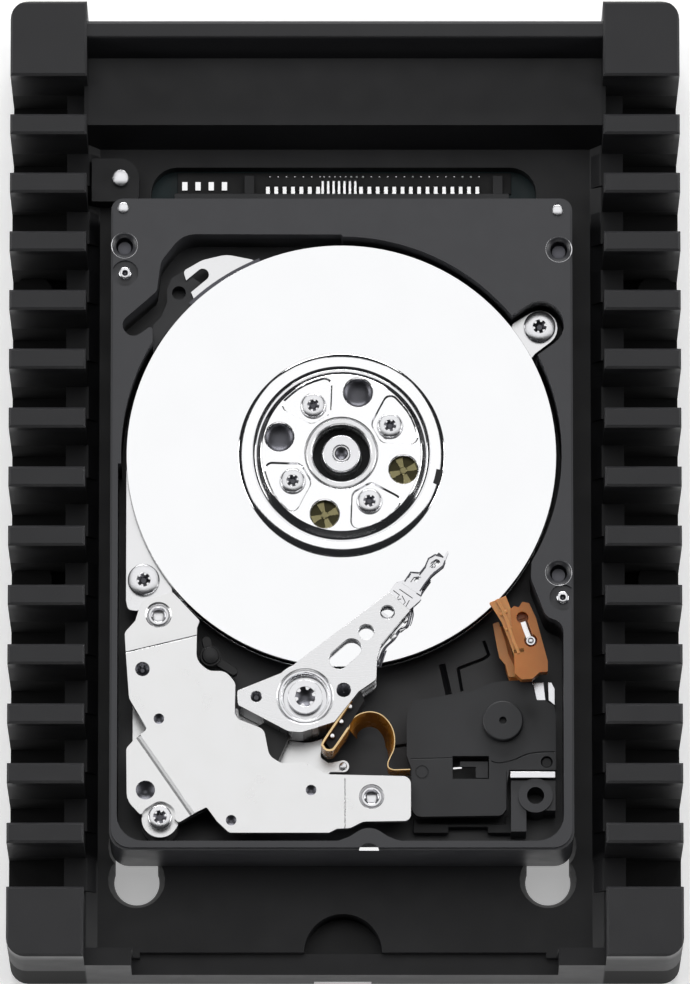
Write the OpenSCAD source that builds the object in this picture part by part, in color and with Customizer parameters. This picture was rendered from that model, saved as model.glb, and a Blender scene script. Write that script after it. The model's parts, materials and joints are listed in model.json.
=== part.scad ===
// Hard disk drive in the 3.5-inch form: a finned heat-sink tray that carries a
// 2.5-inch, 15 mm high two-disk drive with its top cover taken off.
// Millimetres. The origin is the bottom centre of the tray. +X is right, +Y is
// towards the connector end and +Z is up, out of the open side of the drive.

/* [Tray] */
// Width over the fins
tray_w = 101.6; // [101.2:0.1:102]
// Length of the tray
tray_l = 147; // [146.6:0.1:147.4]
// Height of the fins
tray_h = 26.1; // [25.8:0.1:26.5]
// Fins on each side
fin_count = 13; // [11:1:13]
// Spacing of the fins
fin_pitch = 9.09; // [9:0.01:9.12]
// Thickness of one fin
fin_t = 3.1; // [2.6:0.1:3.4]
// Length of a fin across the tray
fin_w = 11.6; // [11:0.1:12]
// Length of each corner block
block_l = 11.6; // [11:0.1:12]
// Chamfer on the top edges
edge_c = 0.35; // [0.3:0.05:0.8]

/* [Mounting holes] */
// Spacing of the bottom holes across the tray
bottom_hole_x = 95.25; // [95:0.05:95.5]
// Spacing of the bottom holes along the tray
bottom_hole_y = 44.45; // [44:0.05:45]
// Spacing of the two holes in each side
side_hole_y = 101.6; // [101:0.1:102]
// Height of the side holes
side_hole_z = 6.35; // [6.2:0.05:6.5]
// Diameter of the tapped holes
mount_d = 2.8; // [2.6:0.1:3]

/* [Drive] */
// Width of the drive
drive_w = 69.85; // [69.6:0.05:70.1]
// Length of the drive
drive_l = 100.2; // [100:0.05:100.5]
// Height of the base casting
drive_h = 15; // [14.8:0.1:15.2]

/* [Disks] */
// Radius of a disk
disk_r = 32.5; // [32.3:0.1:32.6]
// Thickness of a disk
disk_t = 0.8; // [0.6:0.05:0.8]
// Radius of the hole in a disk
disk_bore_r = 10; // [9.9:0.05:10.1]
// Radius of the clamp
clamp_r = 15.7; // [15.4:0.1:15.8]

/* [Actuator] */
// Direction of the arms from the pivot, at rest
arm_angle = 47; // [44:1:48]
// Distance from the pivot to the lift tab's end
reach = 31.5; // [31.3:0.1:31.6]
// Clearance round the fixed shafts
shaft_gap = 0.05; // [0.03:0.01:0.08]

/* [Hidden] */
$fn = 64;

// Levels of the tray
floor_top = 10;
floor_t = 3;
flange_h = 3.5;
ledge_z = 12.5;
gap_z = 11.8;
panel_z = 19;
strip_z = 25.5;
lip_z = 8.5;
step_z = 17.5;
// Half widths of the tray's cross-section
rail_in = tray_w / 2 - fin_w;
web_x = 42.4;
under_x = 38;
floor_x = 37.4;
half_l = tray_l / 2;
half_w = tray_w / 2;
// Places of the mounting holes
bottom_hole_mid = 10;
side_hole_mid = -5.8;

// The drive's place in the tray
drive_x = -0.5;
drive_y = -7;
west = drive_x - drive_w / 2;
east = drive_x + drive_w / 2;
south = drive_y - drive_l / 2;
north = drive_y + drive_l / 2;
base_z = floor_top;
rim_z = base_z + drive_h;
well_z = base_z + 3.2;

// Spindle
spindle = [-0.55, 3.78];
well_r = 33.3;
clear_r = disk_r + 0.4;
shaft_r = 3;
hub_r = disk_bore_r;
low_disk_z = 18.4;
high_disk_z = 21.6;
hub_top = 22.7;
clamp_z = high_disk_z + disk_t;

// Actuator and its levels
pivot = [-6, -33.65];
sleeve_r = 4;
pin_r = 1.9;
block_z = 17;
block_top = 24.3;
top_arm = [23.3, 24.3];
mid_arm = [19.95, 20.85];
low_arm = [16.3, 17.3];
coil_z = [18, 20.4];
coil_dir = 227;
coil_half = 17;
coil_r = [11, 20.4];
frame_r = 4.9;
top_plate = [22, 23.5];
low_plate = [14.8, 16.4];

// Connector end
locator = [-34.2, 48.4];
pcb_top = floor_top - floor_t;
pcb_t = 1.6;
port_x = 4;
function board_holes() = [[-25, 55], [25, 55]];

// ---------------------------------------------------------------- helpers

function unit(v) = v / norm(v);
function xy(p) = [p[0], p[1]];
function on_arc(c, r, a) = [c[0] + r * cos(a), c[1] + r * sin(a)];
function arc(c, r, a0, a1, n = 12) = [for (i = [0:n]) on_arc(c, r, a0 + (a1 - a0) * i / n)];
function turned(a) = a > 180 ? a - 360 : a < -180 ? a + 360 : a;

// The points of one corner p between its neighbours a and b. p[2] is its radius.
function corner(a, p, b) = len(p) < 3 || p[2] == 0 ? [xy(p)] :
    let (u = unit(xy(a) - xy(p)), v = unit(xy(b) - xy(p)),
         half = acos(u * v) / 2,
         c = xy(p) + unit(u + v) * p[2] / sin(half),
         s = xy(p) + u * p[2] / tan(half) - c,
         e = xy(p) + v * p[2] / tan(half) - c,
         a0 = atan2(s[1], s[0]), sweep = turned(atan2(e[1], e[0]) - a0),
         n = max(2, ceil(abs(sweep) / 15)))
    [for (i = [0:n]) on_arc(c, p[2], a0 + sweep * i / n)];

// An outline with its corners rounded: a list of [x, y] or [x, y, radius]
function rounded(p) = [for (i = [0:len(p) - 1])
    each corner(p[(i + len(p) - 1) % len(p)], p[i], p[(i + 1) % len(p)])];

// A flat ring sector from radius r0 to r1 and angle a0 to a1
function sector(r0, r1, a0, a1, n = 16) =
    concat(arc([0, 0], r1, a0, a1, n), arc([0, 0], r0, a1, a0, n));

// A band of even width along a path
function side(p, i, w) = let (d = unit(p[min(i + 1, len(p) - 1)] - p[max(i - 1, 0)]))
    p[i] + [-d[1], d[0]] * w;
function band(p, w) = concat([for (i = [0:len(p) - 1]) side(p, i, w / 2)],
    [for (i = [len(p) - 1:-1:0]) side(p, i, -w / 2)]);

module plate(z0, z1) translate([0, 0, z0]) linear_extrude(z1 - z0) children();
module at(p, z = 0) translate([p[0], p[1], z]) children();
module at_spindle() at(spindle) children();
module at_pivot(a = 0) at(pivot) rotate(a) children();
module box(x0, x1, y0, y1, z0, z1) translate([x0, y0, z0]) cube([x1 - x0, y1 - y0, z1 - z0]);
module rod(r, z0, z1) translate([0, 0, z0]) cylinder(r = r, h = z1 - z0);
module ring(r0, r1, z0, z1) difference() {
    rod(r1, z0, z1);
    rod(r0, z0 - 1, z1 + 1);
}
module each_side() {
    children();
    mirror([1, 0, 0]) children();
}
module four(a) for (i = [0:3]) rotate(a + 90 * i) children();

// A round-headed screw: head upwards from z, with a hexagonal socket
module screw(z, head_r, head_h, shank_r, depth, socket_r) difference() {
    union() {
        rod(head_r, z, z + head_h);
        rod(shank_r, z - depth, z + 0.1);
    }
    translate([0, 0, z + head_h * 0.35]) cylinder(r = socket_r, h = head_h, $fn = 6);
}

// ---------------------------------------------------------------- tray

// Cross-section of the tray: floor, inner slopes, ledges and flanges
module tray_section() polygon([[-half_w, 0], [-under_x, 0], [-under_x, pcb_top],
    [under_x, pcb_top], [under_x, 0], [half_w, 0], [half_w, flange_h], [web_x, flange_h],
    [web_x, gap_z], [rail_in, gap_z], [floor_x, floor_top], [-floor_x, floor_top],
    [-rail_in, gap_z], [-web_x, gap_z], [-web_x, flange_h], [-half_w, flange_h]]);

module chamfered(w, h, c) polygon([[0, 0], [w, 0], [w, h - c], [w - c, h],
    [c, h], [0, h - c]]);

// The row of fins and corner blocks seen from the side, as a (y, z) outline
module fin_row() {
    for (k = [1:fin_count]) translate([half_l - block_l - fin_pitch * k, 0])
        chamfered(fin_t, tray_h, edge_c);
    translate([half_l - block_l, 0]) chamfered(block_l, tray_h, edge_c);
    translate([-half_l, 0]) chamfered(block_l - 1, tray_h, edge_c);
}

module fins() intersection() {
    rotate([90, 0, 90]) translate([0, 0, -half_w]) linear_extrude(tray_w) fin_row();
    rotate([90, 0, 0]) translate([0, 0, -half_l]) linear_extrude(tray_l) {
        translate([half_w - fin_w, 0]) chamfered(fin_w, tray_h, edge_c);
        translate([-half_w, 0]) chamfered(fin_w, tray_h, edge_c);
    }
}

// Blocks on the inner ledge, one in each gap between the fins
module ledge_blocks() each_side() for (k = [0:fin_count])
    translate([0, half_l - block_l - fin_pitch * k, 0]) rotate([90, 0, 0]) linear_extrude(5)
        polygon([[floor_x + 0.2, floor_top - 1], [floor_x + 0.2, floor_top + 0.3],
            [rail_in - 0.5, ledge_z - 0.3], [rail_in - 0.2, ledge_z], [web_x, ledge_z],
            [web_x, floor_top - 1]]);

// Raised panel and strip over the connector, as a (y, z) outline
module bridge() rotate([90, 0, 90]) translate([0, 0, -rail_in - 0.5])
    linear_extrude(2 * rail_in + 1) polygon([[54, floor_top - 1], [54, floor_top],
        [55.8, panel_z], [66.2, panel_z], [67.7, strip_z - 0.5], [68.2, strip_z],
        [70.1, strip_z], [70.6, strip_z - 0.5], [70.6, floor_top - 1]]);

// Solid footprint of the two end walls, down to the bottom
module end_walls() {
    box(-under_x - 1, under_x + 1, half_l - 4.5, half_l - 1.4, 0, floor_top);
    box(-under_x - 1, under_x + 1, -half_l, -half_l + 3.2, 0, lip_z);
    each_side() box(32, rail_in + 1, -half_l, -half_l + 2.7, 0, step_z);
    each_side() box(31, rail_in + 1, half_l - 5, half_l - 1.4, 0, floor_top);
}

module mount_bosses() {
    each_side() for (y = [-1, 1]) {
        at([bottom_hole_x / 2, bottom_hole_mid + y * bottom_hole_y / 2]) rod(3, 0, 6);
        translate([web_x - 0.5, side_hole_mid + y * side_hole_y / 2 - 4, 0])
            cube([half_w - web_x + 0.5, 8, side_hole_z + 3.6]);
    }
}

module mount_holes() {
    each_side() for (y = [-1, 1]) {
        at([bottom_hole_x / 2, bottom_hole_mid + y * bottom_hole_y / 2], -1)
            cylinder(d = mount_d, h = 6);
        translate([half_w + 1, side_hole_mid + y * side_hole_y / 2, side_hole_z])
            rotate([0, -90, 0]) cylinder(d = mount_d, h = 7);
    }
}

// Places of the four screws that hold the drive
function drive_screws() = [for (x = [-30.86, 30.86], y = [-47.05, 29.55]) [drive_x + x, y]];

module slot_hole(x) {
    for (y = [-59.2, -54]) at([x, y], floor_top - floor_t - 1)
        cylinder(r1 = 3.1, r2 = 4.4, h = floor_t + 1.3);
    translate([x - 3.2, -59.2, floor_top - floor_t - 1]) cube([6.4, 5.2, floor_t + 2]);
}

module window(x0, x1, y0, y1, r) plate(floor_top - floor_t - 1, floor_top + 1)
    polygon(rounded([[x0, y0, r], [x1, y0, r], [x1, y1, r], [x0, y1, r]]));

module heat_sink_frame() color([0.16, 0.16, 0.18]) difference() {
    intersection() {
        union() {
            rotate([90, 0, 0]) translate([0, 0, -half_l]) linear_extrude(tray_l) tray_section();
            fins();
            ledge_blocks();
            bridge();
            end_walls();
            mount_bosses();
            plate(floor_top - 1, 14.5) polygon(rounded([[-38.6, 44.9], [-31.4, 44.9, 1],
                [-31.4, 51.6, 3], [-38.6, 51.6]]));
            box(-7.5, 7.5, -half_l + 2, -62.8, 3, floor_top);
        }
        plate(-1, tray_h + 1) polygon(rounded([[-half_w, -half_l, 2.8], [half_w, -half_l, 2.8],
            [half_w, half_l, 2.8], [-half_w, half_l, 2.8]]));
    }
    mount_holes();
    // South end: the floor steps down to the lip, with the front open above it
    box(-31, 30.4, -half_l - 1, -half_l + 3.2, lip_z, floor_top + 1);
    box(-32.2, 32.2, -half_l - 1, -half_l + 2.4, lip_z, step_z + 1);
    // Front edge notch and the half-round recess behind the lip
    box(-4.7, 4, -half_l - 1, -half_l + 2, -1, 2);
    at([-0.3, -70.3]) intersection() {
        rod(5.9, 5, floor_top + 1);
        box(-7, 7, 0, 7, 5, floor_top + 1);
    }
    // North end, outside the strip
    box(-rail_in, rail_in, half_l - 2.9, half_l + 1, floor_top + 6, tray_h + 1);
    // Hollow under the bridge, the port and the windows in the floor
    box(-31, 31, 51, half_l - 4.5, -1, pcb_top);
    box(-31, 31, 57, 65.6, pcb_top - 0.1, panel_z - 3);
    box(port_x - 21, port_x + 21, half_l - 12, half_l + 1, -1, 9.2);
    window(-29.6, 29.2, 38, 51.2, 4);
    window(-26, 26, -33, 33, 3);
    slot_hole(-31.5);
    slot_hole(30.7);
    for (p = drive_screws()) at(p) {
        rod(1.65, floor_top - floor_t - 1, floor_top + 1);
        rod(2.9, -1, floor_top - floor_t + 1.4);
    }
    at(locator) rod(1.3, 11, 20);
    for (p = board_holes()) at(p) rod(1, pcb_top - 1, floor_top - 0.8);
}

module drive_mounting_screws() color([0.7, 0.7, 0.72])
    for (p = drive_screws()) at(p) mirror([0, 0, 1])
        screw(-floor_top + floor_t - 1.4, 2.7, 1.3, 1.45, 4, 1.1);

module locator_pin() color([0.85, 0.85, 0.87]) at(locator) {
    rod(1.3, 11, 14.9);
    rod(1, 14.9, 15.4);
}

// ---------------------------------------------------------------- connector end

module interposer_pcb() color([0.05, 0.35, 0.36]) difference() {
    box(-30.6, 30.6, 36, 61.5, pcb_top - pcb_t, pcb_top);
    for (p = board_holes()) at(p) rod(1.1, 0, 10);
}

module interposer_screws() color([0.75, 0.75, 0.77]) for (p = board_holes()) at(p)
    mirror([0, 0, 1]) screw(pcb_t - pcb_top, 2, 1.1, 1, 3.4, 0.8);

// The socket that takes the drive's own plug
module interposer_receptacle() color([0.35, 0.35, 0.36]) difference() {
    union() {
        box(-26, 25, north + 0.2, 46.3, pcb_top, 13.6);
        box(-26, 25, 46.3, 47.6, pcb_top, 8.2);
        for (x = [-15.4, 22.6]) box(x, x + 1.5, 46.5, 50.2, pcb_top, 9);
    }
    box(-13.5, 21.5, north, 45.3, 10.4, 12.2);
}

// Pin rows of the socket: seven wide, seven narrow, fifteen wide
pin_rows = [[-11.8, 7, 1.28, 0.62, 48.5], [-3.4, 7, 0.83, 0.4, 49.4], [2.45, 15, 1.27, 0.6, 48.5]];
function pins() = [for (r = pin_rows, i = [0:r[1] - 1]) [r[0] + i * r[2], r[3], r[4]]];

module receptacle_pins() color([0.9, 0.9, 0.9]) {
    for (p = pins()) translate([p[0] + p[1] / 2, 0, 0]) rotate([90, 0, -90])
        linear_extrude(p[1]) polygon([[-46.3, 8.5], [-46.3, 8.8], [-p[2], 8.8],
            [-p[2] - 0.3, 8.4], [-p[2] - 0.3, pcb_top + 0.3], [-p[2] - 0.9, pcb_top + 0.3],
            [-p[2] - 0.9, pcb_top], [-p[2], pcb_top], [-p[2], 8.5]]);
    for (i = [0:3]) box(-24.9 + 2.02 * i, -24.2 + 2.02 * i, 48.1, 49.4, pcb_top, pcb_top + 0.5);
}

module sata_connector() color([0.1, 0.1, 0.1]) difference() {
    box(port_x - 20, port_x + 20, 61.5, half_l - 0.3, 1.6, 8.6);
    difference() {
        box(port_x - 18.6, port_x + 18.6, 64, half_l + 1, 2.8, 7.4);
        box(port_x - 17.8, port_x - 5.2, 63, half_l - 1.2, 4.2, 5.4);
        box(port_x - 3.2, port_x + 17.8, 63, half_l - 1.2, 4.2, 5.4);
    }
}

module sata_contacts() color([0.85, 0.7, 0.35]) {
    for (i = [0:6]) translate([port_x - 16.3 + 1.27 * i, 64.2, 5.4]) cube([0.8, 7.6, 0.15]);
    for (i = [0:14]) translate([port_x - 1.9 + 1.27 * i, 64.2, 5.4]) cube([0.8, 7.6, 0.15]);
}

// ---------------------------------------------------------------- base casting

module base_outline(inset) polygon(rounded([[west + inset, south + inset, 2.8],
    [east - inset, south + inset, 2.8], [east - inset, north - inset, 1.8],
    [west + inset, north - inset, 1.8]]));

// The cavity that holds the actuator and its magnets, open to the disk well
module actuator_cavity() polygon(concat(rounded([[-34.3, 2], [-34.3, -55.8, 4],
    [-1, -55.8, 2], [0.6, -55.2, 2], [3.6, -53.3, 3], [6.6, -55.2, 2], [8.2, -55.8, 2],
    [32.9, -55.8, 4], [32.9, -22.4, 2], [30.3, -21.6, 2], [28, -15.6, 3], [28.2, -12]]),
    [[20, 2]]));

// The pocket at the upper left, with the ledge for the damper's corner tab
module corner_pocket() polygon(rounded([[-29.1, 20], [-29.1, 23.4, 0.4], [-32.2, 21.2, 1.5],
    [-34.3, 23.5, 1.5], [-28.5, 28.6, 1.2], [-27.9, 33.2, 3], [-24.6, 37.45, 4], [-0.6, 37.4],
    [0.2, 36.6], [0, 30], [-20, 20]]));

// The shelf in it, beside the disks
module corner_shelf() difference() {
    polygon(rounded([[-29.1, 20], [-29.1, 24.4], [-27.8, 25.8, 1], [-27, 27.9, 1], [-27, 30, 1],
        [-26.3, 31.7, 0.8], [-24.5, 32.8, 0.5], [-22, 31], [-20, 26], [-24, 19]]));
    at(spindle) circle(r = clear_r);
}

// The pocket round the damper's screw at the right
module side_pocket() polygon(concat([[22, 20], [25.1, 24.8]],
    arc([29.55, 23.5], 3.6, 120, -55, 12), [[28.5, 18.3]]));

// Post of the flexible cable's bracket, and the pin that holds the ramp
cover_post = [28.7, -48];
ramp_pin_at = [28, -24.8];
ramp_pin_r = 0.45;

// Tapped holes for the cover screws, and the places of the cover's pins and small screws
function cover_holes() = [[-33.4, 35.7], [32.4, 35.1], [32.2, -14.8]];
function datum_pins() = [[-33.6, 41.5], [32.2, 41.1]];
function locator_holes() = [[-33.3, 31.4], [32.8, -18.6]];
datum_r = 0.9;
datum_foot = rim_z - 1.5;
sink_z = rim_z - 0.5;

module base_casting() color([0.27, 0.27, 0.29]) difference() {
    union() {
        difference() {
            union() {
                plate(base_z, rim_z - 0.6) base_outline(0);
                plate(rim_z - 0.7, rim_z) base_outline(0.3);
            }
            at_spindle() rod(well_r, well_z, rim_z + 1);
            plate(well_z, rim_z + 1) actuator_cavity();
            plate(base_z + 6, rim_z + 1) corner_pocket();
            plate(base_z + 6, rim_z + 1) side_pocket();
        }
        // Seats for the motor, the pivot, the magnet plates and the damper
        at_spindle() ring(3, 4.5, well_z - 1, well_z + 0.5);
        at_pivot() rod(3.4, well_z - 1, 14.2);
        for (p = vcm_posts()) at(p) rod(p[2], well_z - 1, low_plate[0]);
        for (p = damper_posts()) at(p) rod(2.2, well_z - 1, damper_seat);
        plate(well_z - 1, damper_seat) corner_shelf();
        at(cover_post) rod(2.6, well_z - 1, 20);
        box(25, 27.3, -53.4, -45.6, well_z - 1, 19.4);
        box(25, 31.7, -50.2, -45.6, well_z - 1, 19.4);
        box(11, 23.6, -50.2, -46, well_z - 1, 18.1);
    }
    at_spindle() rod(shaft_r, base_z - 1, rim_z);
    at_pivot() rod(pin_r, well_z - 2, rim_z);
    for (p = vcm_posts()) at(p) rod(0.9, 12, rim_z);
    for (p = damper_posts()) at(p) rod(0.9, 14, rim_z);
    at([-25.2, 29.4]) rod(1.05, 17, rim_z);
    at(cover_post) rod(1.3, 14, rim_z);
    for (p = cover_holes()) at(p) {
        rod(1.3, 19, rim_z + 1);
        translate([0, 0, sink_z]) cylinder(r1 = 1.3, r2 = 1.85, h = 0.52);
    }
    for (p = locator_holes()) at(p) {
        rod(2.0, sink_z, rim_z + 1);
        rod(0.7, 20, rim_z + 1);
    }
    for (p = datum_pins()) at(p) rod(datum_r, datum_foot, rim_z + 1);
    // Underside: the circuit board's recess and the holes for the drive's screws
    box(-29.6, 28.5, -20, 36.2, base_z - 1, base_z + 1.3);
    box(-24, 8, -19, -8.5, base_z, base_z + 2.3);
    for (p = board_screws()) at(p) rod(0.85, base_z, base_z + 2.6);
    for (p = drive_screws()) at(p) rod(1.45, base_z - 1, base_z + 2.6);
    box(-22.5, 24.5, 36.1, north + 1, base_z - 1, base_z + 5.2);
    // Gaps for the rings that stand on the floor
    at(stop_pin) rod(0.55, 12, rim_z);
    at(latch) rod(0.8, 12, rim_z);
    at(ramp_pin_at) rod(ramp_pin_r, 12, rim_z);
}

module cover_datum_pins() color([0.9, 0.9, 0.9])
    for (p = datum_pins()) at(p) rod(datum_r, datum_foot, rim_z + 0.2);

module locator_screws() color([0.88, 0.88, 0.9])
    for (p = locator_holes()) at(p) screw(sink_z, 0.95, 0.7, 0.7, 2.5, 0.45);

// ---------------------------------------------------------------- drive electronics

function board_screws() = [[-24.4, -6], [24, -16], [-23, 29], [22, 29]];

module drive_pcb() color([0.05, 0.33, 0.3]) difference() {
    box(-29.3, 28.2, -19.7, 36, base_z + 0.25, base_z + 1.25);
    at_spindle() rod(12.8, 0, 20);
    for (p = board_screws()) at(p) rod(0.95, 0, 20);
}

module pcb_chips() color([0.12, 0.12, 0.12]) {
    box(-22, -10, -17.8, -9.6, base_z + 1.25, base_z + 2.1);
    box(-7, 3, -17, -10, base_z + 1.25, base_z + 2.0);
    box(4.2, 7.4, -16, -11, base_z + 1.25, base_z + 1.9);
}

module pcb_screws() color([0.7, 0.7, 0.72]) for (p = board_screws()) at(p)
    mirror([0, 0, 1]) screw(-base_z - 0.25, 1.5, 0.7, 0.8, 2, 0.7);

module drive_sata_plug() color([0.08, 0.08, 0.08]) difference() {
    box(-22, 24, 36.5, north - 0.05, base_z + 0.2, base_z + 5);
    difference() {
        box(-13.8, 21.8, 38.5, north + 1, base_z + 1, base_z + 4.2);
        box(-12.8, -3.4, 38, north - 0.6, base_z + 2, base_z + 3);
        box(1.6, 20.9, 38, north - 0.6, base_z + 2, base_z + 3);
    }
}

// ---------------------------------------------------------------- spindle motor and disks

module motor_stator() color([0.55, 0.55, 0.57]) at_spindle() plate(14, 16.4) {
    difference() {
        circle(r = 5.9);
        circle(r = 4.5);
    }
    for (i = [0:8]) rotate(40 * i) {
        translate([5.6, -0.6]) square([3.4, 1.2]);
        polygon(sector(8.8, 9.6, -14, 14, 6));
    }
}

module motor_windings() color([0.72, 0.42, 0.18]) at_spindle() for (i = [0:8])
    rotate(40 * i) difference() {
        box(6.3, 8.6, -1.35, 1.35, 13.5, 16.9);
        box(6, 9, -0.6, 0.6, 14, 16.4);
    }

module spindle_shaft() color([0.8, 0.8, 0.82]) at_spindle() difference() {
    union() {
        rod(shaft_r, base_z, 23.4);
        translate([0, 0, 23.4]) cylinder(r1 = shaft_r, r2 = shaft_r - 0.25, h = 0.3);
    }
    rod(0.8, 18, 30);
    rod(1.35, 23, 30);
}

module spindle_hub() color([0.78, 0.78, 0.8]) at_spindle() rotate_extrude() polygon([
    [shaft_r + shaft_gap, 14], [4.3, 14], [4.3, 17.2], [11.1, 17.2], [11.1, 13.8],
    [12.6, 13.8], [12.6, low_disk_z], [hub_r, low_disk_z], [hub_r, hub_top],
    [5.4, hub_top], [5.4, 24], [5.2, 24.2], [4.6, 24.2], [4.4, 24], [4.4, 22.2],
    [shaft_r + shaft_gap, 22.2]]);

module rotor_magnet() color([0.32, 0.32, 0.33]) at_spindle() ring(9.9, 11.1, 13.9, 16.9);

module disk_ring(z, t, r) color([0.93, 0.93, 0.95]) at_spindle() ring(hub_r, r, z, z + t);
module upper_platter() disk_ring(high_disk_z, disk_t, disk_r);
module lower_platter() disk_ring(low_disk_z, disk_t, disk_r);

module platter_spacer() color([0.75, 0.75, 0.77]) at_spindle()
    ring(hub_r, 12.4, low_disk_z + disk_t, high_disk_z);

// Rounded triangular pocket round each clamp screw
module clamp_pocket() polygon(rounded([[6.2, -1.6, 1.2], [11.6, -4.9, 1.1], [12.6, 0, 9],
    [11.6, 4.9, 1.1], [6.2, 1.6, 1.2]]));

module disk_clamp() color([0.92, 0.92, 0.93]) at_spindle() difference() {
    rotate_extrude() polygon([[5.46, hub_top], [12.6, hub_top], [12.8, clamp_z],
        [clamp_r, clamp_z], [clamp_r, 22.9], [clamp_r - 0.5, 23.4], [13.6, 23.4],
        [13.4, 23.1], [12.9, 23.1], [12.7, 23.9], [12.4, 24.1], [5.7, 24.1], [5.46, 23.9]]);
    four(30) {
        plate(23.5, 25) clamp_pocket();
        translate([8.5, 0, 0]) rod(0.95, 20, 25);
    }
    four(75) translate([9.7, 0, 0]) rod(2.15, 20, 25);
}

module clamp_screws() color([0.85, 0.85, 0.87]) at_spindle() four(30)
    translate([8.5, 0, 0]) screw(23.5, 1.83, 0.8, 0.9, 0.8, 0.95);

// ---------------------------------------------------------------- damper between the disks

function damper_posts() = [[29.5, 23.9], [-30.4, -15.2]];
damper_z = [20.15, 20.65];
damper_seat = damper_z[0] - 0.05;

module damper_outline() {
    at(spindle) polygon(sector(18, disk_r - 0.3, 20, 222, 36));
    polygon(rounded([[-12.9, 33.6], [-14.1, 34.5, 0.4], [-18, 35.3, 4], [-21.7, 34.4, 3],
        [-24.6, 32.7, 0.7], [-24, 30.8, 0.5], [-22.9, 28.2], [-20, 24], [-12, 28]]));
    polygon(concat([[24, 20], [25.4, 24.5]], arc([29.5, 23.8], 2.75, 118, -52, 10),
        [[28.8, 19.8], [26, 16]]));
    polygon(rounded([[-33.1, 2], [-33.1, -18.3, 0.8], [-32.8, -19.7, 0.8], [-31.2, -19.9, 0.6],
        [-30.4, -18.6, 0.6], [-26, -17.4], [-27, -8]]));
}

module disk_damper() color([0.82, 0.82, 0.83]) difference() {
    plate(damper_z[0], damper_z[1]) intersection() {
        damper_outline();
        union() {
            at(spindle) circle(r = well_r - 0.1);
            translate([-34.4, -20.5]) square([8.6, 23]);
            translate([-28, 20]) square([28, 16]);
            translate([24, 18]) square([10, 10]);
        }
    }
    plate(20, 21) slot_shape([-24.2, 29.9], [-21.6, 32.1], 0.9);
    for (p = damper_posts()) at(p) rod(1, 15, 25);
}

module damper_screws() color([0.9, 0.9, 0.91]) for (p = damper_posts()) at(p)
    screw(damper_z[1], 2.4, 0.9, 0.9, 3.5, 1);

// ---------------------------------------------------------------- voice-coil motor

// Screw posts: x, y, radius of the seat and of the post on it
function vcm_posts() = [[-28.1, -21, 2.4, 1.9], [-27.8, -52, 2.7, 2.8], [4, -48.8, 2.6, 2.1]];
stop_pin = [-0.3, -42.9];

module top_plate_outline() polygon(rounded([[-26, -17.5, 0.4], [-21.9, -21.9, 0.4],
    [-22.3, -23], [-22.4, -28, 2.4], [-20.5, -29.6, 2], [-18, -29.6, 2], [-16.5, -31.4, 1.5],
    [-16.6, -36.2, 0.5], [-16, -37], [-12.2, -38.5, 1.5], [-11.4, -42.6, 2],
    [-9.6, -43.7, 1.5], [-6, -43.6], [-2.8, -45.4, 2], [9.9, -45.7, 1.2], [9.9, -52.5, 1],
    [2.7, -52.6, 2], [0.8, -53.6, 1.5], [-1.2, -53.7], [-2.4, -54.3], [-17.4, -54.3, 1],
    [-19.2, -52.6], [-20.8, -50.4, 0.3], [-22.6, -51.3], [-25, -52.8, 0.5], [-25.6, -52.2],
    [-25.4, -50.6, 1.5], [-27.8, -49.2, 1.8], [-30.2, -50.8, 1.2], [-30.6, -51.7, 0.3],
    [-32.8, -49.4, 3], [-32.9, -41.4, 1], [-31.9, -40.3], [-30.8, -39.3], [-29.7, -38.5, 0.6],
    [-32.5, -33.8, 2], [-33, -27], [-33.2, -23.7, 1], [-31.6, -21.9, 0.5], [-30.7, -18.9, 1]]));

module low_plate_outline() difference() {
    union() {
        polygon(rounded([[-26, -17.8], [-22.5, -21.8], [-22.5, -28.6, 2.4], [-18.6, -29.9, 1],
            [-17, -33.8], [-12.5, -35.5], [-9.5, -39], [-3.4, -38.6], [-3.7, -41.6, 0.8],
            [-2.4, -42.4, 0.6], [-1, -42.1], [-0.3, -41.95], [-0.3, -43.85], [-2.5, -43.8, 0.5],
            [-2.5, -46.2, 0.5], [9.4, -46.2, 1], [9.4, -51, 1], [0, -51.2], [-2.4, -52.4],
            [-17.6, -52.4, 0.5], [-20.4, -49.4, 0.5], [-24.8, -51.6, 0.4], [-27.8, -50],
            [-31, -50, 1], [-32.1, -48, 1], [-32.1, -24.2, 1], [-31.1, -19.4, 1]]));
        at(stop_pin) circle(r = 0.95);
    }
    at(pivot) circle(r = 5.6);
}

module vcm_holes(r) for (p = vcm_posts()) at(p) rod(r, 10, 30);

module vcm_top_plate() color([0.86, 0.86, 0.86]) difference() {
    plate(top_plate[0], top_plate[1]) top_plate_outline();
    vcm_holes(1.55);
    at([-30.5, -29.3]) rod(1.1, 20, 30);
    at([-30, -47.8]) rod(1.45, 20, 30);
    for (p = [[-28, -36.9], [-17.1, -52.4], [-5.1, -47.8]]) at(p) rod(0.8, top_plate[1] - 0.6, 30);
}

module vcm_bottom_plate() color([0.8, 0.8, 0.8]) {
    difference() {
        plate(low_plate[0], low_plate[1]) low_plate_outline();
        vcm_holes(1.05);
        at(stop_pin) rod(0.56, 10, 30);
    }
    // Posts that carry the top plate
    for (p = vcm_posts()) at(p) ring(1.05, p[3], low_plate[1] - 0.1, top_plate[0]);
}

module magnet(z) color([0.7, 0.7, 0.72]) at_pivot() plate(z, z + 1.2)
    polygon(sector(10.6, 20.7, 178, 252));
module vcm_top_magnet() magnet(top_plate[0] - 1.2);
module vcm_bottom_magnet() magnet(low_plate[1]);

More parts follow.
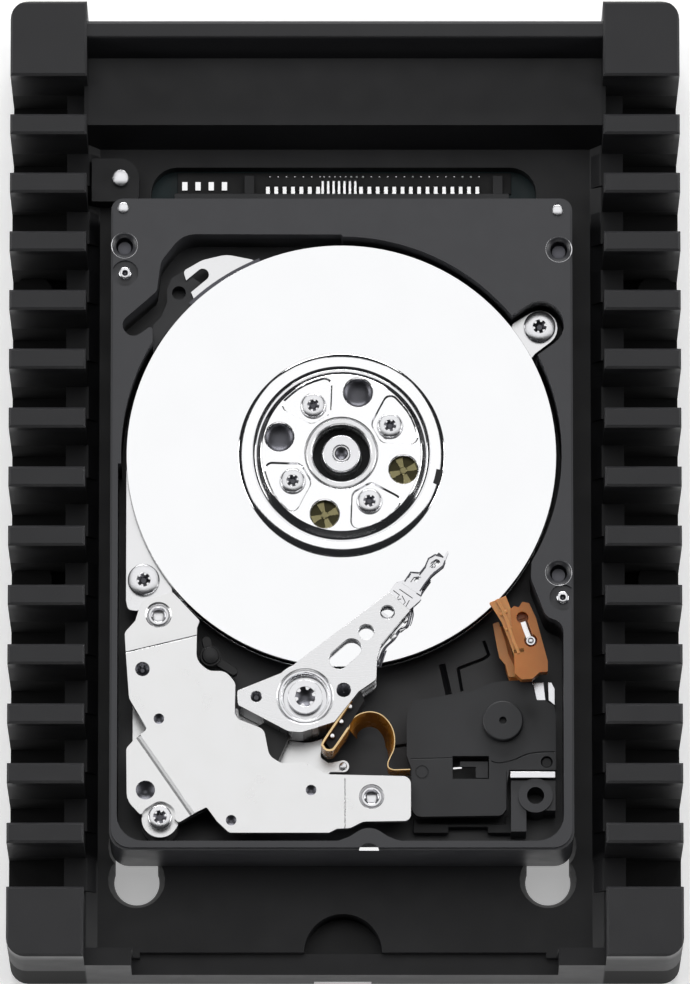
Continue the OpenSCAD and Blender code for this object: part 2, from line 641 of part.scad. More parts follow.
module vcm_screws() color([0.88, 0.88, 0.9]) for (p = vcm_posts()) at(p) difference() {
    union() {
        rod(1.5, top_plate[0], top_plate[1] - 0.2);
        rod(0.88, 12.4, top_plate[0]);
        if (p[1] < -50) rod(1.8, top_plate[1], top_plate[1] + 0.8);
        if (p[1] < -50) rod(1.4, top_plate[1] - 0.2, top_plate[1]);
    }
    translate([0, 0, top_plate[1] - 0.9]) cylinder(r = 0.95, h = 3, $fn = 6);
}

module crash_stop_pin() color([0.85, 0.85, 0.86]) at(stop_pin) rod(0.55, 12, 16.9);

// ---------------------------------------------------------------- pivot and actuator

module pivot_shaft() color([0.85, 0.85, 0.87]) at_pivot() difference() {
    union() {
        rod(pin_r, 12, 23.7);
        rod(2.6, 23.3, 24.2);
    }
    rod(1.5, 23.5, 25);
}

module pivot_sleeve() color([0.9, 0.9, 0.91]) at_pivot() difference() {
    ring(3.3, sleeve_r, 14.6, 24.1);
    rod(3.6, 23.8, 25);
}

module pivot_bearings() color([0.7, 0.7, 0.72]) at_pivot()
    for (z = [15, 21]) ring(pin_r + shaft_gap, 3.3, z, z + 1.8);

// Outline of the actuator block from the pivot, at rest
module block_outline() {
    polygon(rounded([[-10.2, 0.9, 0.3], [-10.1, -1.3, 0.5], [-2.6, -5.3, 2], [-0.6, -5.5, 2],
        [4.4, -3.9, 0.3], [8.5, 1.3], [9.9, 2.7, 0.5], [6.8, 3.6], [0, 4.6], [-3.6, 3.6]]));
    circle(r = 5.1);
}

// Outline of one arm, from the block to its end under the head's base plate
module arm_outline() difference() {
    polygon(rounded([[-4, 3], [-1.2, 5.3, 2], [6, 10.8], [12.6, 16], [15.8, 13.2],
        [14.6, 11.8], [11.4, 7.9, 1.5], [10.8, 5.8, 1.5], [10.7, 2.6, 0.8], [4, -2]]));
    circle(r = sleeve_r);
    translate([9.2, 9.9]) circle(r = 1.2);
    translate([12.4, 12.9]) circle(r = 1.1);
    arm_slot();
}
module arm_slot() slot_shape([5.1, 5.7], [7, 7.4], 1.5);

module slot_shape(a, b, r) {
    polygon(band([a, b], 2 * r));
    at(a) circle(r = r);
    at(b) circle(r = r);
}

module actuator_arm() color([0.88, 0.88, 0.89]) at_pivot() difference() {
    union() {
        plate(block_z, block_top) block_outline();
        rod(5.1, 14.8, block_z);
        for (z = [top_arm, mid_arm, low_arm]) plate(z[0], z[1]) arm_outline();
    }
    rod(sleeve_r, 10, 30);
    at([-7.35, 0]) rod(0.85, top_arm[0], 30);
    at([5.8, 1]) rod(1.1, top_arm[0] - 1, 30);
    plate(top_arm[0] - 2, 30) arm_slot();
    plate(coil_z[0], coil_z[1]) rotate(coil_dir) polygon(sector(frame_r, 12, -20, 20, 6));
}

module coil_overmold() color([0.15, 0.15, 0.15]) at_pivot() plate(coil_z[0], coil_z[1])
    rotate(coil_dir) difference() {
        polygon(sector(frame_r, 21.3, -19, 19));
        polygon(sector(coil_r[0], coil_r[1], -coil_half, coil_half));
    }

module voice_coil() color([0.72, 0.4, 0.15]) at_pivot() plate(coil_z[0] + 0.1, coil_z[1] - 0.1)
    rotate(coil_dir) difference() {
        polygon(sector(coil_r[0], coil_r[1], -coil_half, coil_half));
        polygon(sector(13.4, 18, -8.5, 8.5));
    }

// One head suspension in the arm's own direction: base plate, load beam and lift tab
module beam_outline() polygon(rounded([[22, -2.2, 0.4], [24.6, -1.3], [28.6, -1.15, 0.6],
    [30.3, -0.5, 0.4], [reach, -0.25], [reach, 0.25], [30.3, 0.5, 0.4], [28.6, 1.1, 0.6],
    [24.6, 1.25], [22, 1.9, 0.4]]));
module base_plate_outline() difference() {
    polygon(rounded([[15.8, -2.5, 0.4], [22.2, -2.5, 0.4], [22.2, 2.3, 0.4], [15.8, 2.3, 0.4]]));
    translate([17.9, -0.25]) circle(r = 1);
}

// Level of the base plate's arm face, and the way the head faces
head_levels = [[top_arm[0], -1], [mid_arm[1], 1], [mid_arm[0], -1], [low_arm[1], 1]];
beam_t = 0.15;

module head_suspensions() color([0.87, 0.87, 0.88]) at_pivot(arm_angle)
    for (h = head_levels) translate([0, 0, h[0]]) mirror([0, 0, h[1] < 0 ? 1 : 0]) {
        plate(0, beam_t) base_plate_outline();
        plate(beam_t, 2 * beam_t) beam_outline();
    }

// Disk faces that the four heads look at
disk_faces = [high_disk_z + disk_t, high_disk_z, low_disk_z + disk_t, low_disk_z];
module head_sliders() color([0.25, 0.25, 0.27]) at_pivot(arm_angle)
    for (i = [0:3]) translate([28.9, -0.5, 0]) {
        z0 = head_levels[i][0] + head_levels[i][1] * 2 * beam_t;
        z1 = disk_faces[i] - head_levels[i][1] * 0.06;
        translate([0, 0, min(z0, z1)]) cube([1.2, 1, abs(z1 - z0)]);
    }

// Stiffened end of the flexible circuit, screwed to the side of the block
module arm_flex() color([0.55, 0.36, 0.16]) at_pivot() plate(17.2, 23.9)
    polygon(band(concat([[8.9, 1.2], [2.8, -7.5]], arc([3.8, -7.6], 1, 190, 340, 8),
        [[6.5, -5.05]]), 0.35));

module preamp_chip() color([0.1, 0.1, 0.1]) at_pivot() plate(18, 20.6)
    polygon([[3.88, -6.3], [5.49, -4.01], [6.03, -4.39], [4.42, -6.68]]);

// Loop of flexible circuit between the arm and the bracket
flex_path = concat([[0.8, -38.2]], arc([3.9, -39.4], 3.6, 150, 0, 12), [[7.4, -41.2]],
    arc([7.1, -43.6], 0.75, 120, 270, 8), [[9.8, -44.35]]);
module flex_cable() color([0.6, 0.4, 0.12]) plate(17.4, 21.2) polygon(band(flex_path, 0.2));

// ---------------------------------------------------------------- plastic and small parts

module flex_bracket_cover() color([0.24, 0.24, 0.25]) difference() {
    plate(18.1, 19.6) polygon(rounded([[9.3, -36, 1.5], [10.3, -33.4, 1.5], [15.2, -32.6],
        [19.7, -31.9], [21.7, -30.8, 1], [24.1, -30.4, 1.5], [27.1, -30.3, 1.5], [28.2, -31, 0.6],
        [28.9, -33.3, 0.3], [30.2, -33.4, 0.5], [31.6, -34.2, 0.8], [31.8, -36], [31.8, -44],
        [24.8, -44], [24.4, -45.9], [24.4, -49.9, 0.8], [23.6, -51, 1], [10.6, -51.2, 1.3],
        [10, -49.8, 0.5], [10, -43.8], [9.3, -41.8, 0.5]]));
    box(16.2, 21.7, -45.4, -41.9, 17, 20);
    at([30.4, -42.8]) rod(0.9, 17, 20);
}

module bracket_strip() color([0.9, 0.9, 0.9]) box(24.9, 31.7, -45.4, -44.4, 18.2, 20.4);

module breather_cap() color([0.26, 0.26, 0.27]) at([23.8, -36.7]) difference() {
    union() {
        rod(3.05, 19.6, 20.8);
        translate([0, 0, 20.8]) cylinder(r1 = 3.05, r2 = 2.8, h = 0.2);
    }
    rod(0.55, 20, 22);
}

// Ramp that parks the heads: combs on an arc about the pivot, cut round the disks
ramp_in = 30.9;
ramp_wall = 32.1;
module ramp_reach() translate([20, -30.1]) square([11, 12.6]);
module ramp_sector(r0, r1, a0, a1) at(pivot) polygon(sector(r0, r1, a0, a1, 10));
module load_ramp() color([0.85, 0.55, 0.25]) difference() {
    union() {
        // Wall outside the lift tabs' travel, and its foot
        plate(15.4, 23.1) intersection() {
            ramp_sector(33.9, 37.2, 5.5, 24.5);
            ramp_reach();
        }
        plate(15.4, 23.1) intersection() {
            ramp_sector(ramp_wall, 34.3, 5, 27.5);
            ramp_reach();
        }
        plate(15.4, 17) ramp_sector(ramp_in - 0.3, 33, 6.5, 22);
        // Fingers that the lift tabs slide on
        for (z = [[22.55, 22.85], [21.24, 21.45], [19.38, 19.56], [17.75, 18.2]])
            plate(z[0], z[1]) ramp_sector(ramp_in, ramp_wall + 0.3, 9, 27.8);
    }
    for (z = [low_disk_z, high_disk_z]) at_spindle()
        rod(clear_r, z - 0.14, z + disk_t + 0.13);
    at(ramp_pin_at) rod(0.6, 10, 30);
    plate(22.2, 30) slot_shape([26.9, -21.5], ramp_pin_at, 0.8);
    plate(21, 30) polygon([[27.9, -31.3], [29.1, -29.7], [30.4, -30], [31.5, -31.3]]);
}

module ramp_pin() color([0.9, 0.9, 0.9]) at(ramp_pin_at) rod(ramp_pin_r, 12.2, 22.6);

module ramp_bracket() color([0.9, 0.9, 0.9]) plate(15, 18) {
    polygon([[28.3, -30.3], [30, -30.3], [30.3, -33.1], [28.9, -33.1]]);
    polygon([[30.6, -30.3], [31.2, -30.3], [31.7, -31.3], [31.7, -33.9], [30.7, -33.1]]);
}

// Latch that holds the parked arm against a jolt
latch = [-20.3, -26.6];
module latch_lever() color([0.13, 0.13, 0.14]) at(latch) difference() {
    union() {
        rod(1.6, 17.2, 20);
        plate(17.2, 19.4) slot_shape([0, 0], [3.4, -2.2], 0.65);
        plate(17.2, 19.4) slot_shape([0, 0], [-0.6, 2.4], 0.7);
    }
    rod(0.85, 10, 30);
}
module latch_pin() color([0.15, 0.15, 0.16]) at(latch) {
    rod(0.8, 12, 20.2);
    rod(1.3, 20.2, 20.6);
}

heat_sink_frame();
drive_mounting_screws();
interposer_pcb();
interposer_receptacle();
receptacle_pins();
sata_connector();
sata_contacts();
interposer_screws();
locator_pin();
base_casting();
drive_pcb();
pcb_chips();
pcb_screws();
drive_sata_plug();
motor_stator();
motor_windings();
spindle_shaft();
spindle_hub();
rotor_magnet();
upper_platter();
lower_platter();
platter_spacer();
disk_clamp();
clamp_screws();
disk_damper();
damper_screws();
vcm_top_plate();
vcm_bottom_plate();
vcm_top_magnet();
vcm_bottom_magnet();
vcm_screws();
crash_stop_pin();
pivot_shaft();
pivot_sleeve();
pivot_bearings();
actuator_arm();
coil_overmold();
voice_coil();
head_suspensions();
head_sliders();
arm_flex();
preamp_chip();
flex_cable();
flex_bracket_cover();
bracket_strip();
breather_cap();
load_ramp();
ramp_pin();
ramp_bracket();
cover_datum_pins();
locator_screws();
latch_lever();
latch_pin();
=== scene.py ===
"""Open hard disk drive in a finned heat-sink tray: materials, details, light and camera."""

import json
import math

import bmesh
import bpy
from mathutils import Matrix, Vector


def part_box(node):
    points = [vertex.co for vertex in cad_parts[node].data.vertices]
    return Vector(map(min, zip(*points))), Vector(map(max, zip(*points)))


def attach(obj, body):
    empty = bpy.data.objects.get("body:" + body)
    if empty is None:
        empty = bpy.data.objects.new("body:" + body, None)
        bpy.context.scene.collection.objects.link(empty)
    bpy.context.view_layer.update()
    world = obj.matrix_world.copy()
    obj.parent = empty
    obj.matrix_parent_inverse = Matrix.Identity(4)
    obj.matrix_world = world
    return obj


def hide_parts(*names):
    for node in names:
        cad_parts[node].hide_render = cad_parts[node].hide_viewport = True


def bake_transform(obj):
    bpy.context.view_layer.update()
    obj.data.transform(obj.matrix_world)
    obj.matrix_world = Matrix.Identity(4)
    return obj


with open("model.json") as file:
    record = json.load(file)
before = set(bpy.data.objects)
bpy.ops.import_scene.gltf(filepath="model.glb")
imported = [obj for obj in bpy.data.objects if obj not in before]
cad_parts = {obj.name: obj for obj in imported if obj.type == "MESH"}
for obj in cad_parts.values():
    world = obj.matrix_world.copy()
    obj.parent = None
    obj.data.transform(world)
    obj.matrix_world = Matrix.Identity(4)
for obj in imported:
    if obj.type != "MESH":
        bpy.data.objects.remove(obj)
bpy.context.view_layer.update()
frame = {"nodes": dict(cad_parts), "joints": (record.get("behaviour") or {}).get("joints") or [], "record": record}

NODES = frame["nodes"]
MM = 0.001
TAU = 2 * math.pi
JOINTS = {joint["name"]: joint for joint in frame["joints"]}
BODY_OF = {node: body for body, nodes in frame["record"]["behaviour"]["bodies"].items() for node in nodes}
SLOT_OF = {part["node"]: part["material_slot"] for part in frame["record"]["subparts"]}


def joint_axis(name):
    """The place of a joint's upright axis, in millimetres."""
    x, y, _ = JOINTS[name]["pos_m"]
    return Vector((x, y)) / MM


SPINDLE = joint_axis("spindle_spin")
PIVOT = joint_axis("actuator_swing")
LATCH = joint_axis("latch_swing")


def top(node):
    """Height of a CAD node's highest point, in millimetres."""
    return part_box(node)[1].z / MM


def bottom(node):
    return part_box(node)[0].z / MM


# ------------------------------------------------------------------ camera, floor and light

TRAY_LOW, TRAY_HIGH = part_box("heat_sink_frame")
LOOK_AT = Vector((0, 0, (TRAY_LOW.z + TRAY_HIGH.z) / 2))
CAMERA_AT = Vector((0, -0.386, 1.926))
FRAME_HEIGHT = 0.1494  # metres of the object's plane that the picture's height covers


def add_camera():
    data = bpy.data.cameras.new("camera")
    camera = bpy.data.objects.new("camera", data)
    bpy.context.scene.collection.objects.link(camera)
    camera.location = CAMERA_AT
    away = LOOK_AT - CAMERA_AT
    camera.rotation_euler = away.to_track_quat("-Z", "Y").to_euler()
    data.lens = data.sensor_width * away.length / FRAME_HEIGHT
    bpy.context.scene.camera = camera


def add_soft_box(name, width, depth, location, strength, target):
    """A rectangular soft box whose own brightness is strength."""
    data = bpy.data.lights.new(name, "AREA")
    data.shape = "RECTANGLE"
    data.size = width
    data.size_y = depth
    data.energy = strength * math.pi * width * depth
    light = bpy.data.objects.new(name, data)
    bpy.context.scene.collection.objects.link(light)
    light.location = location
    light.rotation_euler = (Vector(target) - Vector(location)).to_track_quat("-Z", "Y").to_euler()
    light.visible_camera = False


def add_lights():
    """One soft box overhead, which the flat faces mirror, and low ones that draw the edges."""
    add_soft_box("overhead_box", 3.0, 2.6, (0, 1.15, 3.0), 1.1, (0, 1.15, 0))
    for name, width, side, strength in (("east_box", 1.6, (1, 0), 6), ("north_box", 2.2, (0, 1), 9),
                                        ("west_box", 1.6, (-1, 0), 6)):
        add_soft_box(name, width, 0.9, (2.3 * side[0], 2.3 * side[1], 0.95), strength, (0, 0, 0))
    add_soft_box("south_strip", 2.4, 0.2, (0, -2.3, 0.4), 3, (0, 0, 0))


def set_world(strength):
    world = bpy.data.worlds.new("studio")
    bpy.context.scene.world = world
    world.use_nodes = True
    background = world.node_tree.nodes["Background"]
    background.inputs["Color"].default_value = (0.9, 0.93, 1, 1)
    background.inputs["Strength"].default_value = strength


# ------------------------------------------------------------------ materials

MATERIALS = {}


def nodes_of(name):
    """A new material's nodes and links, with its shader."""
    made = bpy.data.materials.new(name)
    made.use_nodes = True
    MATERIALS[name] = made
    tree = made.node_tree
    return tree, tree.nodes["Principled BSDF"]


def object_coords(tree, scale=(1, 1, 1), rotation=0.0):
    """Object coordinates in millimetres, stretched and turned about Z."""
    coords = tree.nodes.new("ShaderNodeTexCoord")
    mapping = tree.nodes.new("ShaderNodeMapping")
    mapping.inputs["Scale"].default_value = [s / MM for s in scale]
    mapping.inputs["Rotation"].default_value = (0, 0, rotation)
    tree.links.new(coords.outputs["Object"], mapping.inputs["Vector"])
    return mapping.outputs["Vector"]


def noise(tree, vector, scale, detail=3.0, roughness=0.5):
    made = tree.nodes.new("ShaderNodeTexNoise")
    made.inputs["Scale"].default_value = scale
    made.inputs["Detail"].default_value = detail
    made.inputs["Roughness"].default_value = roughness
    tree.links.new(vector, made.inputs["Vector"])
    return made.outputs["Fac"]


def ramp(tree, value, low, high, start=0.3, end=0.7):
    """Maps a texture's value from start to end onto low to high."""
    made = tree.nodes.new("ShaderNodeMapRange")
    made.inputs["From Min"].default_value = start
    made.inputs["From Max"].default_value = end
    made.inputs["To Min"].default_value = low
    made.inputs["To Max"].default_value = high
    tree.links.new(value, made.inputs["Value"])
    return made.outputs["Result"]


def mix_colors(tree, factor, first, second):
    made = tree.nodes.new("ShaderNodeMix")
    made.data_type = "RGBA"
    made.inputs["A"].default_value = (*first, 1)
    made.inputs["B"].default_value = (*second, 1)
    tree.links.new(factor, made.inputs["Factor"])
    return made.outputs["Result"]


def bump(tree, shader, height, distance, strength=1.0):
    made = tree.nodes.new("ShaderNodeBump")
    made.inputs["Distance"].default_value = distance * MM
    made.inputs["Strength"].default_value = strength
    tree.links.new(height, made.inputs["Height"])
    tree.links.new(made.outputs["Normal"], shader.inputs["Normal"])


def surface(name, first, second, rough, metallic=0.0, grain=8.0, blotch=0.25, height=0.004,
            stretch=(1, 1, 1), rotation=0.0, coat=0.0, specular=0.5, alpha=1.0, glow=0.0):
    """A finish with fine grain in its relief and a slow change of colour and gloss.

    grain and blotch are in cycles per millimetre, height is the relief in millimetres.
    """
    tree, shader = nodes_of(name)
    shader.inputs["Metallic"].default_value = metallic
    shader.inputs["Specular IOR Level"].default_value = specular
    shader.inputs["Coat Weight"].default_value = coat
    shader.inputs["Coat Roughness"].default_value = 0.1
    shader.inputs["Subsurface Weight"].default_value = glow
    shader.inputs["Subsurface Scale"].default_value = 0.6 * MM
    vector = object_coords(tree, stretch, rotation)
    slow = noise(tree, vector, blotch, 4)
    fine = noise(tree, vector, grain, 4, 0.6)
    tree.links.new(mix_colors(tree, ramp(tree, slow, 0, 1), first, second), shader.inputs["Base Color"])
    tree.links.new(ramp(tree, slow, *rough), shader.inputs["Roughness"])
    if height:
        bump(tree, shader, fine, height)
    return MATERIALS[name]


def turned_metal(name, color, rough, centre, rings=12.0, height=0.0015, metallic=1.0, blotch=0.1):
    """Metal with fine concentric machining marks about an upright axis."""
    tree, shader = nodes_of(name)
    shader.inputs["Metallic"].default_value = metallic
    coords = tree.nodes.new("ShaderNodeTexCoord")
    mapping = tree.nodes.new("ShaderNodeMapping")
    mapping.inputs["Location"].default_value = (-centre[0], -centre[1], 0)
    mapping.inputs["Scale"].default_value = (1 / MM, 1 / MM, 0)
    tree.links.new(coords.outputs["Object"], mapping.inputs["Vector"])
    length = tree.nodes.new("ShaderNodeVectorMath")
    length.operation = "LENGTH"
    tree.links.new(mapping.outputs["Vector"], length.inputs[0])
    marks = tree.nodes.new("ShaderNodeTexNoise")
    marks.noise_dimensions = "1D"
    marks.inputs["Scale"].default_value = rings
    marks.inputs["Detail"].default_value = 4
    tree.links.new(length.outputs["Value"], marks.inputs["W"])
    slow = noise(tree, mapping.outputs["Vector"], blotch, 2)
    dark = [c * 0.985 for c in color]
    tree.links.new(mix_colors(tree, ramp(tree, slow, 0, 1), dark, color), shader.inputs["Base Color"])
    tree.links.new(ramp(tree, marks.outputs["Fac"], *rough), shader.inputs["Roughness"])
    if height:
        bump(tree, shader, marks.outputs["Fac"], height)
    return MATERIALS[name]


def math_node(tree, operation, first, second=None):
    made = tree.nodes.new("ShaderNodeMath")
    made.operation = operation
    tree.links.new(first, made.inputs[0])
    if second is not None:
        tree.links.new(second, made.inputs[1])
    return made.outputs["Value"]


def coated_tray():
    """Satin black coat with painted shade: duller and darker down between the fins, and lighter towards the top."""
    tree, shader = nodes_of("tray_black")
    vector = object_coords(tree)
    split = tree.nodes.new("ShaderNodeSeparateXYZ")
    tree.links.new(vector, split.inputs["Vector"])
    slow = noise(tree, vector, 0.25, 4)
    # Painted shade: near black low down between the fins, lighter higher up
    inner = ramp(tree, math_node(tree, "ABSOLUTE", split.outputs["X"]), 0.75, 0, 39.0, 39.3)
    raised = ramp(tree, split.outputs["Z"], 0, 0.6, 12.0, 12.4)
    high = ramp(tree, split.outputs["Z"], 0, 1, 17, 25)
    painted_light_mask = math_node(tree, "MAXIMUM", math_node(tree, "MAXIMUM", inner, raised), high)
    tree.links.new(mix_colors(tree, painted_light_mask, (0.0006, 0.0006, 0.0008), (0.017, 0.017, 0.019)),
                   shader.inputs["Base Color"])
    gloss = tree.nodes.new("ShaderNodeMix")
    gloss.inputs[2].default_value = 0.85
    tree.links.new(painted_light_mask, gloss.inputs[0])
    tree.links.new(ramp(tree, slow, 0.3, 0.38), gloss.inputs[3])
    tree.links.new(gloss.outputs[0], shader.inputs["Roughness"])
    bump(tree, shader, noise(tree, vector, 5, 4, 0.6), 0.006)
    shader.inputs["Specular IOR Level"].default_value = 0.36


def film_with_painted_edge_highlight():
    """Amber film with a painted highlight: its upward-facing edges are coloured to shine like gold."""
    tree, shader = nodes_of("flex_film")
    vector = object_coords(tree)
    normal = tree.nodes.new("ShaderNodeNewGeometry")
    split = tree.nodes.new("ShaderNodeSeparateXYZ")
    tree.links.new(normal.outputs["Normal"], split.inputs["Vector"])
    # Painted highlight: faces that look up turn light gold and metallic
    up = ramp(tree, split.outputs["Z"], 0, 1, 0.75, 0.95)
    slow = ramp(tree, noise(tree, vector, 0.6, 3), 0, 1)
    amber = mix_colors(tree, slow, (0.3, 0.11, 0.01), (0.42, 0.18, 0.025))
    made = tree.nodes.new("ShaderNodeMix")
    made.data_type = "RGBA"
    tree.links.new(up, made.inputs["Factor"])
    tree.links.new(amber, made.inputs["A"])
    made.inputs["B"].default_value = (0.75, 0.55, 0.3, 1)
    tree.links.new(made.outputs["Result"], shader.inputs["Base Color"])
    tree.links.new(up, shader.inputs["Metallic"])
    tree.links.new(ramp(tree, slow, 0.2, 0.32, 0, 1), shader.inputs["Roughness"])


def make_materials():
    coated_tray()
    surface("base_grey", (0.034, 0.0345, 0.039), (0.042, 0.0425, 0.047), (0.32, 0.4), grain=6, height=0.005)
    surface("steel", (0.72, 0.72, 0.74), (0.82, 0.82, 0.84), (0.18, 0.28), metallic=1, grain=10, height=0.001)
    surface("nickel", (0.74, 0.74, 0.745), (0.78, 0.78, 0.78), (0.2, 0.28), metallic=1, grain=9, height=0.0012)
    turned_metal("clamp_chrome", (0.9, 0.9, 0.91), (0.05, 0.12), SPINDLE * MM, height=0.0003)
    turned_metal("disk_mirror", (0.86, 0.865, 0.875), (0.02, 0.04), SPINDLE * MM, rings=6, height=0)
    turned_metal("machined_aluminium", (0.8, 0.8, 0.81), (0.26, 0.32), PIVOT * MM, rings=9, height=0.0001)
    surface("damper_aluminium", (0.76, 0.76, 0.77), (0.8, 0.8, 0.81), (0.2, 0.28), metallic=1, grain=7,
            height=0.001)
    surface("magnet", (0.4, 0.4, 0.42), (0.5, 0.5, 0.52), (0.25, 0.35), metallic=1, grain=6, height=0.002)
    surface("copper", (0.5, 0.16, 0.05), (0.75, 0.35, 0.12), (0.2, 0.35), metallic=0.9, grain=4,
            stretch=(1, 1, 6), height=0.03)
    surface("stator_steel", (0.2, 0.2, 0.22), (0.3, 0.3, 0.32), (0.35, 0.5), metallic=1, grain=3,
            stretch=(0.2, 0.2, 4), height=0.01)
    surface("board_teal", (0.001, 0.016, 0.02), (0.002, 0.026, 0.03), (0.45, 0.55), grain=4, coat=0.0,
            height=0.003)
    surface("chip_black", (0.008, 0.008, 0.009), (0.014, 0.014, 0.015), (0.45, 0.6), grain=12, height=0.004)
    surface("plastic_black", (0.006, 0.006, 0.007), (0.01, 0.01, 0.011), (0.35, 0.45), grain=9,
            height=0.004)
    surface("plastic_grey", (0.022, 0.0225, 0.025), (0.028, 0.0285, 0.031), (0.45, 0.55), grain=9,
            height=0.004)
    surface("ramp_amber", (0.42, 0.14, 0.025), (0.5, 0.18, 0.04), (0.3, 0.4), grain=5, glow=0.25,
            height=0.002)
    surface("flex_kapton", (0.16, 0.05, 0.003), (0.24, 0.085, 0.008), (0.2, 0.3), grain=3, coat=0.3,
            height=0.002)
    surface("contact_gold", (0.7, 0.5, 0.2), (0.8, 0.58, 0.26), (0.2, 0.3), metallic=1, height=0.001)
    surface("pin_tin", (0.85, 0.85, 0.86), (0.92, 0.92, 0.92), (0.15, 0.3), metallic=1, height=0.001)
    surface("slider_ceramic", (0.03, 0.03, 0.033), (0.05, 0.05, 0.055), (0.1, 0.2), height=0)
    # Steel darkened as painted shade, for sockets, hole floors and hollows
    surface("shaded_steel", (0.09, 0.09, 0.1), (0.15, 0.15, 0.17), (0.36, 0.46), metallic=1, height=0.001)
    # A lighter copy of the ramp's amber, as painted light on the comb's fingers, ridges and a step
    surface("ramp_amber_painted_light", (0.56, 0.24, 0.07), (0.62, 0.28, 0.09), (0.3, 0.4), grain=5, glow=0.25, height=0.002)
    # Flat black, also used as painted shade on the floor of the hub's ring gap
    surface("flat_black_and_painted_shade", (0.004, 0.004, 0.005), (0.006, 0.006, 0.007), (0.5, 0.6), height=0)
    # A darkened copy of the olive brass, as painted shade under the spokes in two of the clamp's holes
    surface("olive_painted_shade", (0.035, 0.03, 0.012), (0.05, 0.045, 0.02), (0.3, 0.4), metallic=0.8, height=0.001)
    surface("olive_brass", (0.2, 0.18, 0.09), (0.28, 0.25, 0.13), (0.2, 0.3), metallic=0.9, height=0.001)
    film_with_painted_edge_highlight()
    surface("paper_floor", (0.9, 0.9, 0.9), (0.92, 0.92, 0.92), (0.8, 0.9), grain=1, blotch=0.01,
            height=0)


# ------------------------------------------------------------------ CAD nodes that stay

# Width of the rounded edge on each carried-over node, in millimetres
EDGES = {"heat_sink_frame": 0.32, "base_casting": 0.16, "disk_clamp": 0.1, "vcm_top_plate": 0.2,
         "actuator_arm": 0.1, "load_ramp": 0.06, "flex_bracket_cover": 0.15, "upper_platter": 0.05,
         "lower_platter": 0.05, "sata_connector": 0.1, "head_sliders": 0.02, "head_suspensions": 0.02,
         "receptacle_pins": 0.06, "sata_contacts": 0.02, "motor_stator": 0.03}
DEFAULT_EDGE = 0.08


def round_edges(piece, width):
    """Welds the mesh and rounds its sharp edges."""
    weld = piece.modifiers.new("weld", "WELD")
    weld.merge_threshold = 0.0005 * MM
    flat = piece.modifiers.new("flat", "DECIMATE")
    flat.decimate_type = "DISSOLVE"
    flat.angle_limit = math.radians(0.6)
    bevel = piece.modifiers.new("bevel", "BEVEL")
    bevel.width = width * MM
    bevel.segments = 2
    bevel.limit_method = "ANGLE"
    bevel.angle_limit = math.radians(40)
    bevel.use_clamp_overlap = True
    normals = piece.modifiers.new("normals", "WEIGHTED_NORMAL")
    normals.keep_sharp = True
    for face in piece.data.polygons:
        face.use_smooth = True


def finish_cad_nodes():
    for name, piece in NODES.items():
        material = MATERIALS[SLOT_OF[name]]
        for i in range(len(piece.data.materials)):
            piece.data.materials[i] = material
        if not piece.data.materials:
            piece.data.materials.append(material)
        round_edges(piece, EDGES.get(name, DEFAULT_EDGE))


# ------------------------------------------------------------------ shapes

def unit(x, y):
    length = math.hypot(x, y)
    return x / length, y / length


def rounded(points):
    """An outline with its corners rounded: each point is (x, y) or (x, y, radius)."""
    outline = []
    for i, point in enumerate(points):
        if len(point) < 3:
            outline.append(point)
            continue
        x, y, radius = point
        before, after = points[i - 1], points[(i + 1) % len(points)]
        ux, uy = unit(before[0] - x, before[1] - y)
        vx, vy = unit(after[0] - x, after[1] - y)
        half = math.acos(max(-1, min(1, ux * vx + uy * vy))) / 2
        mx, my = unit(ux + vx, uy + vy)
        cx, cy = x + mx * radius / math.sin(half), y + my * radius / math.sin(half)
        reach = radius / math.tan(half)
        start = math.atan2(y + uy * reach - cy, x + ux * reach - cx)
        sweep = math.atan2(y + vy * reach - cy, x + vx * reach - cx) - start
        sweep = (sweep + math.pi) % TAU - math.pi
        steps = max(3, int(abs(sweep) / 0.2))
        outline += [(cx + radius * math.cos(start + sweep * k / steps),
                     cy + radius * math.sin(start + sweep * k / steps)) for k in range(steps + 1)]
    return outline


def circle(centre, radius, steps=40):
    return [(centre[0] + radius * math.cos(TAU * k / steps), centre[1] + radius * math.sin(TAU * k / steps))
            for k in range(steps)]


def turned(points, degrees, centre=(0, 0)):
    """The points turned about the origin, then moved to centre. A third number stays as it is."""
    c, s = math.cos(math.radians(degrees)), math.sin(math.radians(degrees))
    return [(centre[0] + p[0] * c - p[1] * s, centre[1] + p[0] * s + p[1] * c, *p[2:]) for p in points]


def strip(path, width):
    """The outline of a band of even width along an open path."""
    left, right = [], []
    for i, (x, y) in enumerate(path):
        ax, ay = path[max(i - 1, 0)]
        bx, by = path[min(i + 1, len(path) - 1)]
        dx, dy = unit(bx - ax, by - ay)
        left.append((x - dy * width / 2, y + dx * width / 2))
        right.append((x + dy * width / 2, y - dx * width / 2))
    return left + right[::-1]


def smooth_path(points, steps=6):
    """A curve through the points, as a Catmull-Rom spline. Works in two or three dimensions."""
    path = []
    for i in range(len(points) - 1):
        p = [points[max(i - 1, 0)], points[i], points[i + 1], points[min(i + 2, len(points) - 1)]]
        for k in range(steps):
            t = k / steps
            path.append(tuple(0.5 * (2 * b + (c - a) * t + (2 * a - 5 * b + 4 * c - d) * t * t
                                     + (3 * b - a - 3 * c + d) * t ** 3) for a, b, c, d in zip(*p)))
    return path + [tuple(points[-1])]


def mesh_from(shape):
    bmesh.ops.recalc_face_normals(shape, faces=shape.faces[:])
    mesh = bpy.data.meshes.new("shape")
    shape.to_mesh(mesh)
    shape.free()
    return mesh


